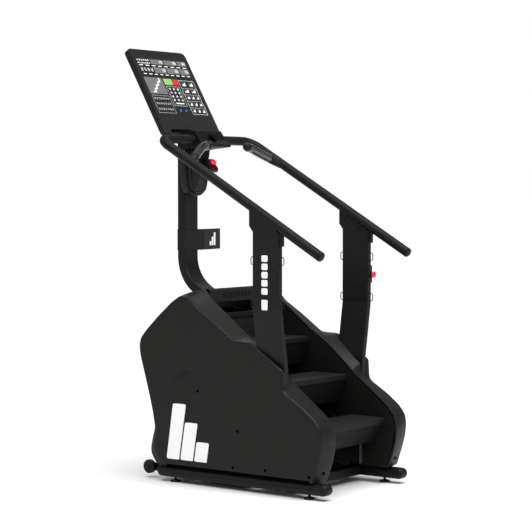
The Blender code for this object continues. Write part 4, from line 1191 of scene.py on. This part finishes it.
def dressNodes():
    dressed = 0
    for finish, starts in kept.items():
        for name, item in nodes.items():
            if name.startswith(tuple(starts)):
                item.data.materials.clear()
                item.data.materials.append(finishes[finish])
                dressed += 1
    print("dressed", dressed, "nodes")


dressNodes()


studio = {"floor": (0.86, 0.86, 0.86), "floorClouds": (0.84, 0.84, 0.84), "floorReach": 60,
          "surround": 0.3, "backdrop": 1.0, "sun": 3.1, "sunSpread": 60.0,
          "sunPlace": (-1.0, -0.6, 4.0),
          "lights": [("sideLight", (-4.5, 1.6, 2.2), (0.0, 0.0, 0.9), 2.0, 10.0),
                     ("rimLight", (3.0, 2.5, 3.2), (0.0, 0.0, 1.2), 2.0, 25.0),
                     ("stairLight", (0.0, -2.2, 3.6), (0.0, -0.1, 0.5), 0.6, 60.0)]}


def aimed(light, place, target):
    light.location = place
    heading = np.array(target, float) - np.array(place, float)
    flat = math.hypot(heading[0], heading[1])
    light.rotation_euler = (math.atan2(flat, -heading[2]), 0.0, math.atan2(-heading[0], heading[1]))


def buildStudio():
    mesh = bpy.data.meshes.new("floor")
    reach = studio["floorReach"]
    mesh.from_pydata([(-reach, -reach, 0), (reach, -reach, 0), (reach, reach, 0),
                      (-reach, reach, 0)], [], [(0, 1, 2, 3)])
    floor = bpy.data.objects.new("floor", mesh)
    bpy.context.collection.objects.link(floor)
    paint = Paint("floorPaint")
    clouds = paint.noise(0.5, 2.0)
    mesh.materials.append(paint.done({
        "Base Color": paint.mix(clouds * 0.1, studio["floor"], studio["floorClouds"]),
        "Roughness": 0.9}))
    world = bpy.data.worlds.new("studio")
    world.use_nodes = True
    tree = world.node_tree
    background = tree.nodes["Background"]
    background.inputs["Color"].default_value = (1.0, 1.0, 1.0, 1.0)
    rays = tree.nodes.new("ShaderNodeLightPath")
    strength = tree.nodes.new("ShaderNodeMapRange")  # a white backdrop over a softer surround
    strength.inputs["To Min"].default_value = studio["surround"]
    strength.inputs["To Max"].default_value = studio["backdrop"]
    tree.links.new(rays.outputs["Is Camera Ray"], strength.inputs["Value"])
    tree.links.new(strength.outputs[0], background.inputs["Strength"])
    bpy.context.scene.world = world
    sun = bpy.data.lights.new("topLight", "SUN")
    sun.energy, sun.angle = studio["sun"], math.radians(studio["sunSpread"])
    lights = [(sun, studio["sunPlace"], (0.0, 0.0, 0.0))]
    for name, place, target, size, power in studio["lights"]:
        data = bpy.data.lights.new(name, "AREA")
        data.size, data.energy = size, power
        lights.append((data, place, target))
    for data, place, target in lights:
        light = bpy.data.objects.new(data.name, data)
        aimed(light, place, target)
        bpy.context.collection.objects.link(light)


view = {"sensor": 36.0, "lens": 119.98, "reach": 200.0, "place": (-6.85951, -5.36439, 1.43),
        "down": 2.4932, "turn": -52.3}


def buildCamera():
    data = bpy.data.cameras.new("camera")
    data.sensor_width, data.lens, data.clip_end = view["sensor"], view["lens"], view["reach"]
    camera = bpy.data.objects.new("camera", data)
    camera.location = view["place"]
    camera.rotation_euler = (math.radians(90 - view["down"]), 0.0, math.radians(view["turn"]))
    bpy.context.collection.objects.link(camera)
    bpy.context.scene.camera = camera


buildStudio()
buildCamera()
bpy.context.scene.view_settings.view_transform = "Standard"
